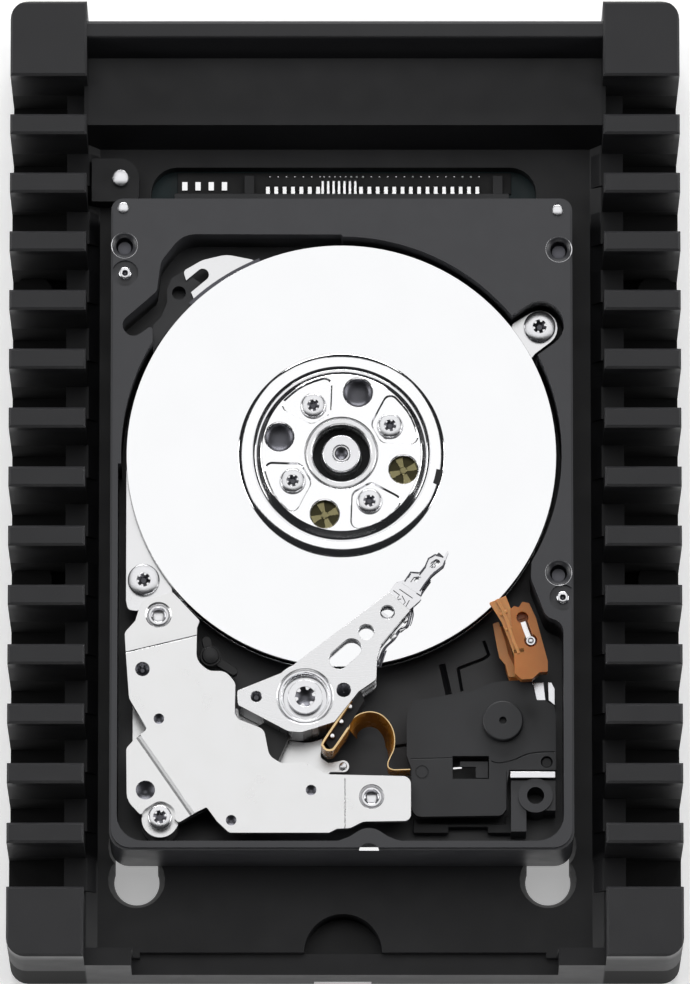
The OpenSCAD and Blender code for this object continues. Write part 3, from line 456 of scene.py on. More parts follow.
def slab(outlines, low, high):
    """An upright solid between two heights. The outlines after the first are its holes."""
    shape = bmesh.new()
    edges = []
    for outline in outlines:
        corners = [shape.verts.new((p[0] * MM, p[1] * MM, low * MM)) for p in outline]
        edges += [shape.edges.new((corners[i - 1], corners[i])) for i in range(len(corners))]
    bmesh.ops.triangle_fill(shape, use_beauty=True, use_dissolve=True, edges=edges, normal=(0, 0, 1))
    raised = bmesh.ops.extrude_face_region(shape, geom=shape.faces[:])["geom"]
    bmesh.ops.translate(shape, verts=[v for v in raised if isinstance(v, bmesh.types.BMVert)],
                        vec=(0, 0, (high - low) * MM))
    return mesh_from(shape)


def lathe(profile, centre, steps=72):
    """A closed profile of (radius, height) turned about an upright axis."""
    shape = bmesh.new()
    rings = []
    for radius, height in profile:
        count = steps if radius > 1e-6 else 1
        rings.append([shape.verts.new(((centre[0] + radius * math.cos(TAU * k / steps)) * MM,
                                       (centre[1] + radius * math.sin(TAU * k / steps)) * MM, height * MM))
                      for k in range(count)])
    for i, ring in enumerate(rings):
        after = rings[(i + 1) % len(rings)]
        for k in range(steps):
            corners = [ring[k % len(ring)], ring[(k + 1) % len(ring)],
                       after[(k + 1) % len(after)], after[k % len(after)]]
            corners = list(dict.fromkeys(corners))
            if len(corners) > 2:
                shape.faces.new(corners)
    return mesh_from(shape)


def flared(outline, low, high, spread):
    """A solid to cut a pocket whose walls slope outwards by spread on the way up."""
    shape = bmesh.new()
    count = len(outline)
    grown = []
    for i, (x, y) in enumerate(outline):
        ax, ay = outline[i - 1]
        bx, by = outline[(i + 1) % count]
        dx, dy = unit(bx - ax, by - ay)
        grown.append((x + dy * spread, y - dx * spread))
    rings = [[shape.verts.new((p[0] * MM, p[1] * MM, z * MM)) for p in ring]
             for ring, z in ((outline, low), (grown, high), (grown, high + 1))]
    for first, second in zip(rings, rings[1:]):
        for k in range(count):
            shape.faces.new((first[k - 1], first[k], second[k], second[k - 1]))
    shape.faces.new(rings[0])
    shape.faces.new(rings[-1])
    return mesh_from(shape)


def tube(path, radius, sides=8):
    """A round wire along a path of (x, y, z)."""
    shape = bmesh.new()
    rings = []
    for i, point in enumerate(path):
        along = Vector(path[min(i + 1, len(path) - 1)]) - Vector(path[max(i - 1, 0)])
        frame_of = along.to_track_quat("Z", "Y")
        rings.append([shape.verts.new((Vector(point) + frame_of @ Vector(
            (radius * math.cos(TAU * k / sides), radius * math.sin(TAU * k / sides), 0))) * MM)
            for k in range(sides)])
    for first, second in zip(rings, rings[1:]):
        for k in range(sides):
            shape.faces.new((first[k - 1], first[k], second[k], second[k - 1]))
    shape.faces.new(rings[0])
    shape.faces.new(rings[-1])
    return mesh_from(shape)


def groove(a, b, width, depth, level):
    """A wedge to cut a straight V groove from a to b in a face at this height."""
    shape = bmesh.new()
    dx, dy = unit(b[0] - a[0], b[1] - a[1])
    ends = []
    for x, y in (a, b):
        ends.append([shape.verts.new(((x - dy * w) * MM, (y + dx * w) * MM, z * MM))
                     for w, z in ((width / 2, level), (width / 2, level + 0.2), (-width / 2, level + 0.2),
                                  (-width / 2, level), (0, level - depth))])
    for k in range(5):
        shape.faces.new((ends[0][k - 1], ends[0][k], ends[1][k], ends[1][k - 1]))
    shape.faces.new(ends[0])
    shape.faces.new(ends[1])
    return mesh_from(shape)


def joined(meshes):
    shape = bmesh.new()
    for mesh in meshes:
        shape.from_mesh(mesh)
        bpy.data.meshes.remove(mesh)
    return mesh_from(shape)


def add_piece(name, mesh, material, body, edge=0.0):
    """Puts a finished mesh in the scene, riding on a CAD body."""
    mesh.name = name
    mesh.materials.clear()
    mesh.materials.append(MATERIALS[material])
    piece = bpy.data.objects.new(name, mesh)
    bpy.context.scene.collection.objects.link(piece)
    if edge:
        round_edges(piece, edge)
    else:
        mesh.polygons.foreach_set("use_smooth", [True] * len(mesh.polygons))
        mesh.set_sharp_from_angle(angle=math.radians(35))
    if body:
        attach(piece, body)
    return piece


def cut(mesh, cutters):
    """The mesh with the cutters taken out of it."""
    shape = bmesh.new()
    shape.from_mesh(mesh)
    bmesh.ops.remove_doubles(shape, verts=shape.verts[:], dist=0.0005 * MM)
    shape.to_mesh(mesh)
    shape.free()
    blank = bpy.data.objects.new("blank", mesh)
    tool = bpy.data.objects.new("tool", joined(cutters))
    for made in (blank, tool):
        bpy.context.scene.collection.objects.link(made)
    taken = blank.modifiers.new("cut", "BOOLEAN")
    taken.operation = "DIFFERENCE"
    taken.solver = "EXACT"
    taken.use_self = True
    taken.object = tool
    seen = blank.evaluated_get(bpy.context.evaluated_depsgraph_get())
    result = bpy.data.meshes.new_from_object(seen)
    for made in (blank, tool):
        bpy.data.objects.remove(made)
    return result


def carve(node, cutters, edge):
    """Stands for a CAD node: the same shape with shallow cuts in it."""
    piece = add_piece(node + "_cut", cut(NODES[node].data.copy(), cutters), SLOT_OF[node], BODY_OF[node],
                      edge)
    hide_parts(node)
    return piece


# ------------------------------------------------------------------ spindle

def add_clamp():
    """The disk clamp: a sloping rim, a deep ring step, four pockets and eight holes."""
    profile = [(5.46, 22.7), (5.46, 23.95), (5.65, 24.1), (11.95, 24.1), (12.2, 24.03), (12.95, 23.2),
               (13.15, 23.12), (13.35, 23.2), (13.55, 23.4), (14.2, 23.4), (15.45, 23.06), (15.66, 22.9),
               (15.69, 22.41), (12.8, 22.41), (12.6, 22.7)]
    pocket = rounded([(6.2, -1.6, 1.2), (11.0, -4.6, 1.0), (12.0, 0, 9), (11.0, 4.6, 1.0), (6.2, 1.6, 1.2)])
    cutters = []
    for k in range(4):
        cutters.append(flared(turned(pocket, 30 + 90 * k, SPINDLE), 23.5, 24.12, 0.22))
        screw_at, = turned([(8.5, 0)], 30 + 90 * k, SPINDLE)
        cutters.append(slab([circle(screw_at, 0.95)], 20, 23.6))
        cutters.append(lathe([(1.84, 23.6), (2.02, 23.6), (2.02, 23.52), (1.93, 23.35), (1.84, 23.4)], screw_at, 40))
        hole_at, = turned([(9.7, 0)], 75 + 90 * k, SPINDLE)
        cutters.append(lathe([(0, 20), (2.12, 20), (2.12, 23.9), (2.32, 24.12), (2.32, 25), (0, 25)], hole_at, 48))
    clamp = add_piece("disk_clamp_turned", cut(lathe(profile, SPINDLE, 128), cutters), "clamp_chrome",
                      "spindle_rotor", 0.11)
    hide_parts("disk_clamp")
    # A black mark on the rim, and what shows down the four large holes: dark dishes, and olive discs under brass
    # spokes, darkened as painted shade
    mark = rounded([(14.55 * math.cos(a), 14.55 * math.sin(a)) for a in (-0.31, -0.26, -0.21, -0.16)]
                   + [(15.6 * math.cos(a), 15.6 * math.sin(a)) for a in (-0.16, -0.21, -0.26, -0.31)])
    add_piece("clamp_mark", slab([turned(mark, 0, SPINDLE)], 22.95, 23.42), "flat_black_and_painted_shade", "spindle_rotor")
    dishes, discs, spokes = [], [], []
    for angle in (75, 165):
        at, = turned([(9.7, 0)], angle, SPINDLE)
        dishes.append(lathe([(0, 22.72), (0.5, 22.74), (1.0, 22.81), (1.5, 22.95), (1.85, 23.12), (2.1, 23.4),
                             (2.11, 22.71), (0, 22.71)], at, 40))
    for angle in (255, 345):
        at, = turned([(9.7, 0)], angle, SPINDLE)
        discs.append(lathe([(0, 22.8), (2.12, 22.8), (2.14, 22.71), (0, 22.71)], at, 40))
        spokes.append(lathe([(0, 23.15), (0.5, 23.15), (0.62, 23.05), (0.62, 22.8), (0, 22.8)], at, 24))
        for k in range(4):
            spokes.append(slab([turned([(0.5, -0.3), (2.05, -0.62), (2.05, 0.62), (0.5, 0.3)], 20 + 90 * k, at)],
                               22.8, 22.95))
    add_piece("clamp_hole_dishes", joined(dishes), "shaded_steel", "spindle_rotor")
    add_piece("clamp_hole_plugs", joined(discs), "olive_painted_shade", "spindle_rotor")
    add_piece("clamp_hole_spokes", joined(spokes), "olive_brass", "spindle_rotor", 0.05)


def socket_dish(at, low, high, radius):
    """A hollow cone of painted shade that fills a screw's socket."""
    return lathe([(0, low), (radius * 0.4, low + 0.02), (radius * 0.96, high), (radius * 0.98, low - 0.05),
                  (0, low - 0.05)], at, 24)


def star_lobes(at, level, radius):
    """Six little teeth round a socket's edge."""
    return [slab([turned([(radius * 0.72, -radius * 0.1), (radius * 1.02, -radius * 0.26),
                          (radius * 1.02, radius * 0.26), (radius * 0.72, radius * 0.1)], 60 * k + 15, at)],
                 level - 0.15, level - 0.02) for k in range(6)]


def round_head(at, low, high, radius, socket, foot):
    """A screw's head with an open socket, over a round shank that reaches down to foot."""
    return lathe([(0, foot), (radius * 0.5, foot), (radius * 0.5, low), (radius, low), (radius, high - 0.16),
                  (radius - 0.05, high - 0.06), (radius - 0.16, high), (socket + 0.06, high), (socket, high - 0.06),
                  (socket, low + 0.12), (0, low + 0.12)], at, 48)


def add_screws():
    """The screws that show from above, with dark, toothed sockets."""
    clamp_heads = [(*turned([(8.5, 0)], 30 + 90 * k, SPINDLE)[0], 24.3) for k in range(4)]
    damper_heads = [(29.5, 23.9, 21.55), (-30.4, -15.2, 21.55)]
    small_heads = [(-33.3, 31.4, 25.2), (32.8, -18.6, 25.2)]
    for node, heads, height, radius, socket, foot in (
            ("clamp_screws", clamp_heads, 0.8, 1.83, 0.88, 0.8), ("damper_screws", damper_heads, 0.9, 2.4, 1.0, 3.5),
            ("locator_screws", small_heads, 0.7, 0.95, 0.42, 2.5)):
        body = BODY_OF[node]
        made = add_piece(node + "_turned", joined([
            round_head(p[:2], p[2] - height, p[2], radius, socket, p[2] - height - foot) for p in heads]), "steel", body)
        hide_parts(node)
        add_piece(node + "_sockets", joined([socket_dish(p[:2], p[2] - height + 0.2, p[2] - 0.1, socket) for p in heads]),
                  "shaded_steel", body)
        if node != "locator_screws":
            add_piece(node + "_teeth", joined([m for p in heads for m in star_lobes(p[:2], p[2], socket)]), "steel",
                      body)
    # The magnet plate's own screws: two sunk ones with a deep hollow, and one with a proud head
    sunk = [lathe([(0, 12.4), (0.88, 12.4), (0.88, 21.9), (1.5, 21.9), (1.5, 23.28), (1.42, 23.38), (1.2, 23.38),
                   (1.08, 23.2), (0.95, 22.75), (0.5, 22.6), (0, 22.6)], p, 48) for p in ((-28.1, -21), (4, -48.8))]
    proud = round_head((-27.8, -52), 23.5, 24.3, 1.78, 0.98, 12.4)
    made = add_piece("vcm_screws_turned", joined(sunk + [proud]), "steel", "chassis")
    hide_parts("vcm_screws")
    add_piece("plate_screw_socket", socket_dish((-27.8, -52), 23.7, 24.2, 0.98), "shaded_steel", "chassis")
    add_piece("plate_screw_teeth", joined(star_lobes((-27.8, -52), 24.3, 0.98)), "steel", "chassis")
    add_piece("pivot_socket", socket_dish(PIVOT, 23.52, 24.1, 1.5), "shaded_steel", "chassis")
    add_piece("pivot_socket_teeth", joined(star_lobes(PIVOT, 24.2, 1.5)), "steel", "chassis")


def add_pins():
    """Small round pins, turned smooth."""
    pins = {"cover_datum_pins": ([(-33.6, 41.5), (32.2, 41.1)], 0.9, 23.5, 25.2, "steel"),
            "locator_pin": ([(-34.2, 48.4)], 1.3, 11, 15.4, "steel"),
            "ramp_pin": ([(28, -24.8)], 0.45, 12.2, 22.6, "steel"),
            "latch_pin": ([(-20.3, -26.6)], 1.3, 12, 20.6, "plastic_black")}
    for node, (places, radius, low, high, material) in pins.items():
        profile = [(0, low), (radius * 0.6, low), (radius * 0.6, high - 0.5), (radius, high - 0.5),
                   (radius, high - 0.18), (radius - 0.06, high - 0.06), (radius - 0.18, high), (0, high)]
        if node != "latch_pin":
            profile = [(0, low), (radius, low), (radius, high - 0.18), (radius - 0.06, high - 0.06),
                       (radius - 0.18, high), (0, high)]
        made = add_piece(node + "_turned", joined([lathe(profile, p, 40) for p in places]), material, "chassis")
        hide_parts(node)


def add_hub():
    """The hub with a deep ring gap, and the shaft's end with its bush and hollow; painted shade lies on the gap's floor
    and in the hollow.
    """
    carve("spindle_hub", [lathe([(3.06, 18), (4.36, 18), (4.36, 25), (3.06, 25)], SPINDLE, 72)], 0.1)
    end = lathe([(0, 23.1), (0.4, 23.1), (0.88, 23.45), (0.95, 23.62), (1.05, 23.66), (1.2, 23.66), (1.27, 23.55),
                 (1.27, 22.9), (0, 22.9)], SPINDLE, 48)
    add_piece("shaft_bush", end, "steel", "chassis")
    # Painted shade: a black ring on the floor of the hub's gap
    gap = lathe([(3.1, 20.0), (4.32, 20.0), (4.32, 20.1), (3.1, 20.1)], SPINDLE, 72)
    add_piece("hub_gap_painted_shade", gap, "flat_black_and_painted_shade", BODY_OF["spindle_hub"])
    add_piece("shaft_hollow", socket_dish(SPINDLE, 23.16, 23.5, 0.86), "shaded_steel", "chassis")


# ------------------------------------------------------------------ magnet plates and arm

def add_magnet_plate():
    """The upper magnet plate with its fold lines, its long groove and its sunk screw seats."""
    level = 23.5
    cutters = [groove((-33.6, -26.9), (-22.0, -24.1), 0.34, 0.12, level),
               groove((0.0, -46), (0.0, -54.2), 0.3, 0.1, level),
               groove((-31.2, -39.5), (-22.4, -52.3), 0.8, 0.45, level)]
    for x, y, radius in ((-28.1, -21, 2.0), (4, -48.8, 1.9)):
        cutters.append(lathe([(1.56, 23.05), (radius, level + 0.01), (radius, 24), (1.5, 24), (1.5, 23.05)],
                             (x, y), 48))
    carve("vcm_top_plate", cutters, 0.2)
    # The floor of the holes that go through the plate, in dark steel as painted shade
    pits = [lathe([(0, 22.2), (0.3, 22.2), (radius, 22.9), (radius, 22.1), (0, 22.1)], at, 32)
            for at, radius in (((-30.5, -29.3), 1.08), ((-30, -47.8), 1.43))]
    pits += [lathe([(0, 22.92), (0.25, 22.93), (0.79, 23.25), (0.79, 22.9), (0, 22.9)], at, 28)
             for at in ((-28, -36.9), (-17.1, -52.4), (-5.1, -47.8))]
    add_piece("plate_hole_floors", joined(pits), "shaded_steel", "chassis")


def add_arm():
    """The arm block with the gap round its bearing, and floors in two of its holes."""
    level = 24.3
    cutters = [lathe([(3.9, 23.9), (4.3, level + 0.01), (4.3, 25), (3.9, 25)], PIVOT, 72)]
    carve("actuator_arm", cutters, 0.12)
    # Painted shade: dark steel floors in two of the arm's holes
    pits = [lathe([(0, 23.34), (0.35, 23.35), (0.84, 23.8), (0.84, 23.31), (0, 23.31)], (-13.35, -33.65), 28),
            lathe([(0, 22.35), (0.1, 22.35), (1.09, 23.3), (1.09, 22.31), (0, 22.31)], (-0.2, -32.65), 28)]
    add_piece("arm_hole_floors", joined(pits), "shaded_steel", "actuator")


def add_suspensions():
    """Head suspensions: base plates, hinges with windows, railed load beams, gimbals and lift tabs."""
    plate_outline = rounded([(5.0, -19.9, 0.8), (7.6, -16.0, 0.4), (8.4, -16.0), (11.6, -18.3, 0.2),
                             (11.2, -18.8), (8.9, -20.9), (8.0, -22.2, 0.5)])
    hinge = [(7.7, -15.9), (8.6, -16.1), (11.4, -17.9), (11.6, -17.2), (11.4, -16.6), (10.8, -16.0), (9.7, -15.2),
             (9.1, -15.5)]
    beam = rounded([(8.7, -16.4), (9.6, -15.3), (10.2, -14.3), (10.9, -14.4, 0.2), (11.3, -14.9),
                    (12.2, -13.7), (12.5, -12.6, 0.5), (13.5, -11.8, 0.5), (14.3, -12.0, 0.3), (14.8, -12.2),
                    (15.4, -11.1), (15.65, -11.2), (15.15, -12.5), (15.0, -13.0), (14.5, -13.7, 0.4),
                    (13.4, -14.3, 0.3), (12.7, -15.2), (11.8, -16.3), (11.5, -17.0), (10.4, -17.9)])
    window = [(10.3, -15.9), (10.7, -15.2), (11.3, -14.95), (11.5, -15.2), (11.0, -15.6), (10.7, -16.1)]
    loop = rounded([(12.9, -13.9, 0.3), (12.9, -12.9, 0.4), (13.8, -12.3, 0.3), (14.4, -12.7, 0.3), (14.2, -13.4, 0.3)])
    slot_cut = [(8.5, -17.0), (10.1, -18.2), (10.3, -17.9), (8.8, -16.8)]
    meshes = []
    for low, side in ((23.0, 1), (20.86, -1), (19.94, 1), (17.31, -1)):
        base, hinge_z, beam_z = (low, low + 0.1, low + 0.02) if side > 0 else (low, low, low + 0.05)
        meshes.append(slab([plate_outline, circle((6.4, -20.4), 1.0, 28)], base, base + 0.24))
        meshes.append(slab([hinge], hinge_z - 0.06, hinge_z + 0.1))
        meshes.append(slab([beam, window, loop, slot_cut], beam_z, beam_z + 0.12))
    rails = []
    for path in ([(9.0, -15.8), (9.9, -14.4), (11.3, -14.5), (12.1, -13.5), (12.6, -12.3), (13.6, -11.7), (14.3, -11.9)],
                 [(11.3, -17.3), (12.0, -16.2), (13.0, -14.9), (13.8, -14.2), (14.8, -13.4), (15.1, -12.6)]):
        rails.append(slab([strip(path, 0.2)], 23.05, 23.34))
    rails.append(slab([strip([(12.8, -13.6), (13.6, -12.7), (14.2, -12.5)], 0.1)], 23.14, 23.22))
    replaced = add_piece("head_suspensions_pressed", joined(meshes), "steel", "actuator")
    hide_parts("head_suspensions")
    add_piece("load_beam_rails", joined(rails), "shaded_steel", "actuator")
    add_piece("swage_boss", lathe([(1.0, 23.2), (1.38, 23.2), (1.38, 23.62), (1.22, 23.68), (1.0, 23.6)],
                                  (6.4, -20.4), 40), "steel", "actuator")
    add_piece("gimbal_dimple", lathe([(0, 23.28), (0.2, 23.25), (0.3, 23.14), (0, 23.14)], (13.4, -13.4), 20),
              "steel", "actuator")
    scribes = [slab([strip(path, 0.12)], 23.2, 23.27) for path in (
        [(7.3, -17.2), (8.2, -17.9), (7.9, -18.4)], [(8.6, -18.0), (9.1, -19.0), (8.6, -19.6)],
        [(8.2, -17.0), (10.2, -18.4)], [(9.7, -18.7), (8.7, -20.6)], [(7.9, -18.6), (8.5, -18.5)],
        [(9.9, -15.9), (10.4, -15.2), (11.2, -15.1)])]
    add_piece("beam_scribes", joined(scribes), "flat_black_and_painted_shade", "actuator")
    # Flat wiring along the arm's edge, from the block to the head
    wires = []
    for shift, drop in ((0.0, 0.0), (0.28, 0.25), (0.56, 0.5)):
        points = [(4.8 + shift, -28.9, 22.9), (5.3 + shift, -27.2, 22.9), (5.9 + shift, -25.9, 22.6 - drop),
                  (7.2 + shift, -24.6, 22.6 - drop), (8.1 + shift, -23.2, 22.7 - drop),
                  (9.2 + shift, -22.6, 22.8 - drop), (9.7 + shift, -21.0, 22.9 - drop),
                  (9.9 + shift * 0.6, -19.7, 23.0), (10.9, -18.6, 23.05), (11.9, -17.0, 23.1),
                  (12.9, -15.6, 23.1)]
        wires.append(tube(smooth_path(points), 0.11, 6))
    add_piece("head_wires", joined(wires), "shaded_steel", "actuator")
    pads = [slab([turned([(-0.5, -0.28), (0.5, -0.28), (0.5, 0.28), (-0.5, 0.28)], 40, at)], 22.5, 22.75)
            for at in ((9.2, -21.6), (8.6, -23.0), (7.3, -24.2), (5.1, -28.0))]
    add_piece("wire_pads", joined(pads), "pin_tin", "actuator", 0.05)


# ------------------------------------------------------------------ flexible circuit

FLEX_LOOP = [(0.55, -38.25), (0.95, -36.9), (2.2, -35.9), (3.9, -35.55), (5.6, -36.1), (6.9, -37.6), (7.45, -39.4),
             (7.35, -41.2), (6.75, -42.6), (6.45, -43.4), (6.6, -44.1), (7.3, -44.4), (8.4, -44.4), (9.8, -44.35)]
FLEX_HEAD = [(2.55, -31.6), (-0.3, -36.0), (-3.2, -40.4), (-3.25, -41.2), (-2.8, -41.7), (-2.1, -41.75), (-1.5, -41.3),
             (0.5, -38.35)]


def ribbon(path, width, low, high):
    """A thin strip standing on edge along a path."""
    return slab([strip(smooth_path(path), width)], low, high)


def leaning_loop(path, centre, lean, width, low, high):
    """A strip on edge whose lower edge is drawn in towards the loop's centre."""
    shape = bmesh.new()
    top = strip(smooth_path(path), width)
    foot = []
    for x, y in top:
        dx, dy = x - centre[0], y - centre[1]
        share = max(0, min(1, (y - FLEX_TAIL) / 3))
        away = math.hypot(dx, dy)
        foot.append((x - dx / away * lean * share, y - dy / away * lean * share))
    middle = [tuple((a + b) / 2 for a, b in zip(p, q)) for p, q in zip(top, foot)]
    rings = [[shape.verts.new((p[0] * MM, p[1] * MM, z * MM)) for p in ring]
             for ring, z in ((foot, low), (middle, (low + high) / 2), (top, high))]
    count, half = len(top), len(top) // 2
    for first, second in zip(rings, rings[1:]):
        for k in range(count):
            shape.faces.new((first[k - 1], first[k], second[k], second[k - 1]))
    for ring in (rings[0], rings[-1]):
        for k in range(half - 1):
            shape.faces.new((ring[k], ring[k + 1], ring[count - 2 - k], ring[count - 1 - k]))
    return mesh_from(shape)


FLEX_TAIL = -43.2


def add_flex():
    """The amber circuit: a stiffened fold on the block and a free loop to the bracket."""
    loop = add_piece("flex_loop", leaning_loop(FLEX_LOOP, (3.6, -39.6), 1.35, 0.14, 16.9, 21.9), "flex_film", None)
    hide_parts("flex_cable")
    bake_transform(loop)
    fold = add_piece("flex_fold", ribbon(FLEX_HEAD, 0.3, 17.3, 23.9), "flex_film", "actuator")
    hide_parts("arm_flex")
    pads = [lathe([(0, 23.5), (0.3, 23.45), (0.42, 23.2), (0.42, 22.7), (0, 22.7)], at, 20)
            for at in ((0.75, -35.0), (-0.55, -37.3), (-1.9, -39.5))]
    add_piece("flex_solder", joined(pads), "pin_tin", "actuator")
    add_piece("flex_stiffener", slab([[(2.3, -32.0), (-2.9, -40.3), (-2.2, -41.3), (-1.5, -40.8), (0.3, -38.2),
                                       (2.9, -33.9)]], 17.4, 22.3), "chip_black", "actuator")


# ------------------------------------------------------------------ ramp and bracket cover

def add_ramp():
    """The parking ramp: its screwed plate, the stepped comb beside the disks and the keyhole slot."""
    plate = rounded([(24.95, -20.0), (25.5, -19.55, 0.15), (26.2, -19.75, 0.15), (26.75, -18.9, 0.15), (27.75, -19.1, 0.2),
                     (28.8, -21.4), (30.55, -28.0, 0.3), (30.55, -29.6, 0.2), (29.3, -29.7, 0.2), (28.2, -30.7, 0.3),
                     (26.6, -30.8, 0.3), (25.6, -29.9, 0.3), (25.5, -27.5)])
    key = strip([(26.75, -21.2), (27.2, -22.6), (27.95, -24.7)], 1.1)
    pieces = [slab([plate, circle((26.7, -21.3), 0.95, 28), circle((28, -24.8), 0.98, 28)], 20.9, 23.0)]
    plate_mesh = cut(slab([plate], 20.6, 23.0), [slab([circle((26.75, -21.3), 0.92, 28)], 21.6, 24),
                                                 slab([circle((28, -24.8), 1.0, 28)], 21.4, 24),
                                                 slab([key], 21.3, 24)])
    for mesh in pieces:
        bpy.data.meshes.remove(mesh)
    finger = rounded([(21.75, -19.0, 0.1), (24.25, -17.95, 0.1), (25.0, -19.9), (25.3, -21.7), (25.9, -24.0),
                      (27.1, -27.2), (27.3, -28.3, 0.1), (26.0, -28.5, 0.1), (25.1, -26.0), (24.6, -24.5), (23.6, -22.0)])
    ridge = strip([(22.9, -18.5), (23.7, -20.0), (24.6, -22.4), (25.4, -24.9), (26.2, -26.8)], 0.45)
    step = rounded([(22.3, -21.7, 0.1), (23.2, -21.4, 0.1), (24.2, -24.3), (24.7, -26.4), (25.6, -28.2), (25.9, -29.9, 0.2),
                    (24.7, -29.9, 0.2), (24.2, -28.0), (23.3, -26.9, 0.1), (22.9, -25.0)])
    low_step = rounded([(23.3, -21.8), (24.3, -21.6), (25.3, -26.0), (26.2, -28.6), (26.2, -30.2, 0.3), (25.0, -30.3, 0.3),
                        (24.3, -28.2), (23.8, -25.0)])
    meshes = [plate_mesh, slab([low_step], 15.6, 18.1),
              slab([rounded([(25.6, -21.0), (26.6, -21.0), (28.4, -29.0), (27.2, -29.9), (26.0, -28.0)])], 15.4, 20.7)]
    # Painted light: the fingers, ridges and a step take the lighter copy of the amber
    painted_light_parts = [slab([finger], 22.6, 22.9), slab([ridge], 22.85, 23.1), slab([step], 19.5, 20.1),
            slab([strip([(23.4, -20.9), (24.4, -20.3)], 0.5)], 22.85, 23.05),
            slab([strip([(24.2, -23.2), (25.2, -22.8)], 0.4)], 22.85, 23.0),
            slab([strip([(25.3, -26.5), (27.0, -26.3)], 0.7)], 22.85, 23.0)]
    add_piece("load_ramp_fingers", joined(painted_light_parts), "ramp_amber_painted_light", "chassis", 0.06)
    comb = add_piece("load_ramp_moulded", joined(meshes), "ramp_amber", "chassis", 0.07)
    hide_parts("load_ramp")
    liner = slab([strip([(26.85, -21.7), (27.25, -22.9), (27.8, -24.3)], 0.75)], 21.32, 21.5)
    add_piece("ramp_slot_liner", liner, "pin_tin", "chassis")
    ring = lathe([(0.46, 22.5), (0.46, 22.72), (0.66, 22.72), (0.72, 22.6), (0.72, 22.4), (0.46, 22.4)], (28, -24.8), 28)
    add_piece("ramp_pin_collar", ring, "steel", "chassis")


def add_cover_details():
    """Ridges, recesses and a boss on the plastic bracket cover."""
    level = 19.6
    wave = smooth_path([(22.0, -42.7), (23.3, -43.0), (25.5, -42.5), (27.3, -41.7), (29.3, -41.35), (31.6, -41.3)], 4)
    cutters = [groove(a, b, 0.26, 0.14, level) for a, b in zip(wave, wave[1:])]
    cutters += [groove(a, b, 0.2, 0.1, level) for a, b in
                (((9.9, -42.35), (16.1, -42.2)), ((24.35, -44.3), (24.35, -50.0)))]
    cutters.append(lathe([(0.82, level - 0.12), (0.82, level + 0.2), (1.06, level + 0.2), (1.06, level - 0.12)],
                         (11.6, -44.4), 32))
    carve("flex_bracket_cover", cutters, 0.15)
    parts = [slab([rounded([(17.3, -42.6), (21.6, -42.6), (21.6, -45.2), (19.7, -45.2), (19.7, -43.5), (17.3, -43.5)])],
                  18.3, 19.0),
             lathe([(0, 18.9), (0.72, 18.9), (0.85, 18.75), (0.85, 18.2), (0, 18.2)], (30.4, -42.8), 32)]
    add_piece("cover_inlays", joined(parts), "plastic_grey", "chassis", 0.08)
    add_piece("cover_contact", slab([[(16.3, -43.55), (17.6, -43.45), (17.6, -43.7), (16.3, -43.8)]], 18.4, 18.9),
              "pin_tin", "chassis")
    foot = rounded([(10.3, -50.6), (10.3, -53.0, 0.2), (15.6, -53.0, 0.2), (15.6, -52.1), (21.5, -52.1),
                    (21.5, -53.0, 0.2), (26.6, -53.0, 0.2), (27.3, -52.2, 0.2), (27.3, -50.4), (24.2, -50.4), (24.2, -51.6),
                    (11.0, -51.6)])
    add_piece("cover_foot", slab([foot], 14.2, 15.6), "plastic_grey", "chassis", 0.12)


def add_connector_details():
    """The socket's dark back, with four small pads and the pins' solder dots on it."""
    add_piece("receptacle_back", slab([[(-25.6, 47.65), (25.4, 47.65), (25.4, 50.9), (-25.6, 50.9)]], 7.0, 7.5),
              "flat_black_and_painted_shade", "chassis", 0.05)
    pads = [slab([[(x, 48.1), (x + 0.8, 48.1), (x + 0.8, 49.4), (x, 49.4)]], 7.45, 7.9)
            for x in (-24.9, -22.88, -20.86, -18.84)]
    add_piece("receptacle_pads", joined(pads), "pin_tin", "chassis")
    dots = []
    for start, count, pitch in ((-11.5, 7, 1.28), (-3.2, 7, 0.83), (2.75, 15, 1.27)):
        dots += [lathe([(0, 7.72), (0.12, 7.68), (0.2, 7.5), (0, 7.45)], (start + i * pitch, 50.3), 10)
                 for i in range(count)]
    add_piece("receptacle_solder", joined(dots), "pin_tin", "chassis")


def add_damper_details():
    """Painted shade: a dark strip on the step of the damper's corner tab, beside the disk."""
    arc = [(SPINDLE[0] + 33.05 * math.cos(math.radians(a)), SPINDLE[1] + 33.05 * math.sin(math.radians(a)))
           for a in range(112, 136, 2)]
    add_piece("damper_tab_painted_shade", slab([strip(arc, 0.5)], 20.62, 20.7), "shaded_steel", "chassis")


# ------------------------------------------------------------------ base casting

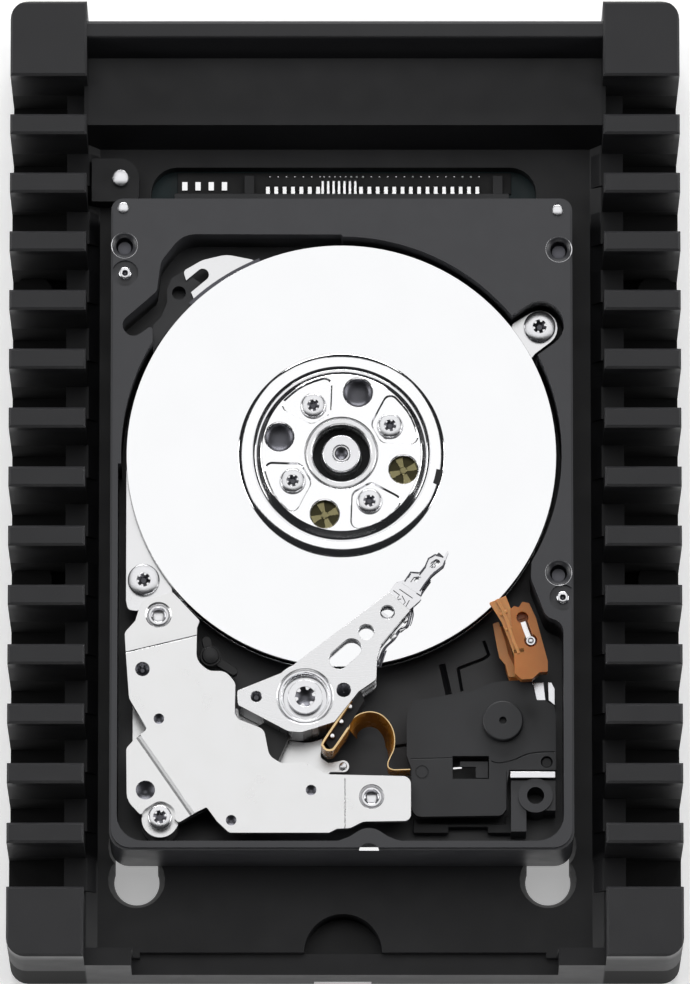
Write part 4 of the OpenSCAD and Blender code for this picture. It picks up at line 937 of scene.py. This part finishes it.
def add_base():
    """The casting with the cast lines on its cavity floor, bright seats round its cover screw holes with painted shade
    down in them, and pads.
    """
    level = 13.2
    lines = [((6.7, -39.4), (9.6, -39.0)), ((21.0, -23.0), (21.8, -25.3)), ((21.8, -25.2), (21.0, -25.8)),
             ((21.0, -25.8), (17.1, -27.3)), ((17.1, -27.2), (17.7, -30.8))]
    cutters = [groove(a, b, 0.5, 0.6, level) for a, b in lines]
    cutters.append(groove((14.7, -26.6), (15.7, -31.3), 1.0, 0.9, level))
    carve("base_casting", cutters, 0.16)
    seats = [lathe([(1.3, 24.3), (1.33, 24.3), (1.88, 24.98), (2.02, 25.01), (2.04, 24.9), (1.4, 24.2)], at, 40)
             for at in ((-33.4, 35.7), (32.4, 35.1), (32.2, -14.8))]
    add_piece("cover_hole_seats", joined(seats), "steel", "chassis")
    # Painted shade: dark steel dishes down in the cover screw holes
    floors = [lathe([(0, 22.6), (1.0, 22.8), (1.29, 23.4), (1.29, 22.4), (0, 22.4)], at, 32)
              for at in ((-33.4, 35.7), (32.4, 35.1), (32.2, -14.8))]
    add_piece("cover_hole_painted_shade", joined(floors), "shaded_steel", "chassis")
    pad = [(3.6 + 1.5 * math.cos(TAU * k / 24), -57.3 + 1.15 * math.sin(TAU * k / 24)) for k in range(13)]
    add_piece("rim_pad", slab([pad], 24.6, 25.0), "pin_tin", "chassis")
    rings = [lathe([(1.3, 19.35), (1.3, 19.6), (1.5, 19.6), (2.35, 19.5), (2.35, 19.35)], (28.7, -48), 40)]
    add_piece("bracket_post_seat", joined(rings), "plastic_grey", "chassis")


# ------------------------------------------------------------------ the scene

def add_floor():
    mesh = bpy.data.meshes.new("floor")
    half = 3.0
    mesh.from_pydata([(-half, -half, 0), (half, -half, 0), (half, half, 0), (-half, half, 0)], [],
                     [(0, 1, 2, 3)])
    floor = bpy.data.objects.new("floor", mesh)
    floor.location.z = TRAY_LOW.z
    shader = MATERIALS["paper_floor"].node_tree.nodes["Principled BSDF"]
    shader.inputs["Emission Color"].default_value = (1, 1, 1, 1)
    shader.inputs["Emission Strength"].default_value = 0.34
    mesh.materials.append(MATERIALS["paper_floor"])
    bpy.context.scene.collection.objects.link(floor)


add_camera()
set_world(0.02)
add_lights()
bpy.context.scene.view_settings.view_transform = "Standard"
make_materials()
finish_cad_nodes()
add_clamp()
add_screws()
add_pins()
add_hub()
add_magnet_plate()
add_arm()
add_suspensions()
add_flex()
add_ramp()
add_cover_details()
add_connector_details()
add_damper_details()
add_base()
add_floor()
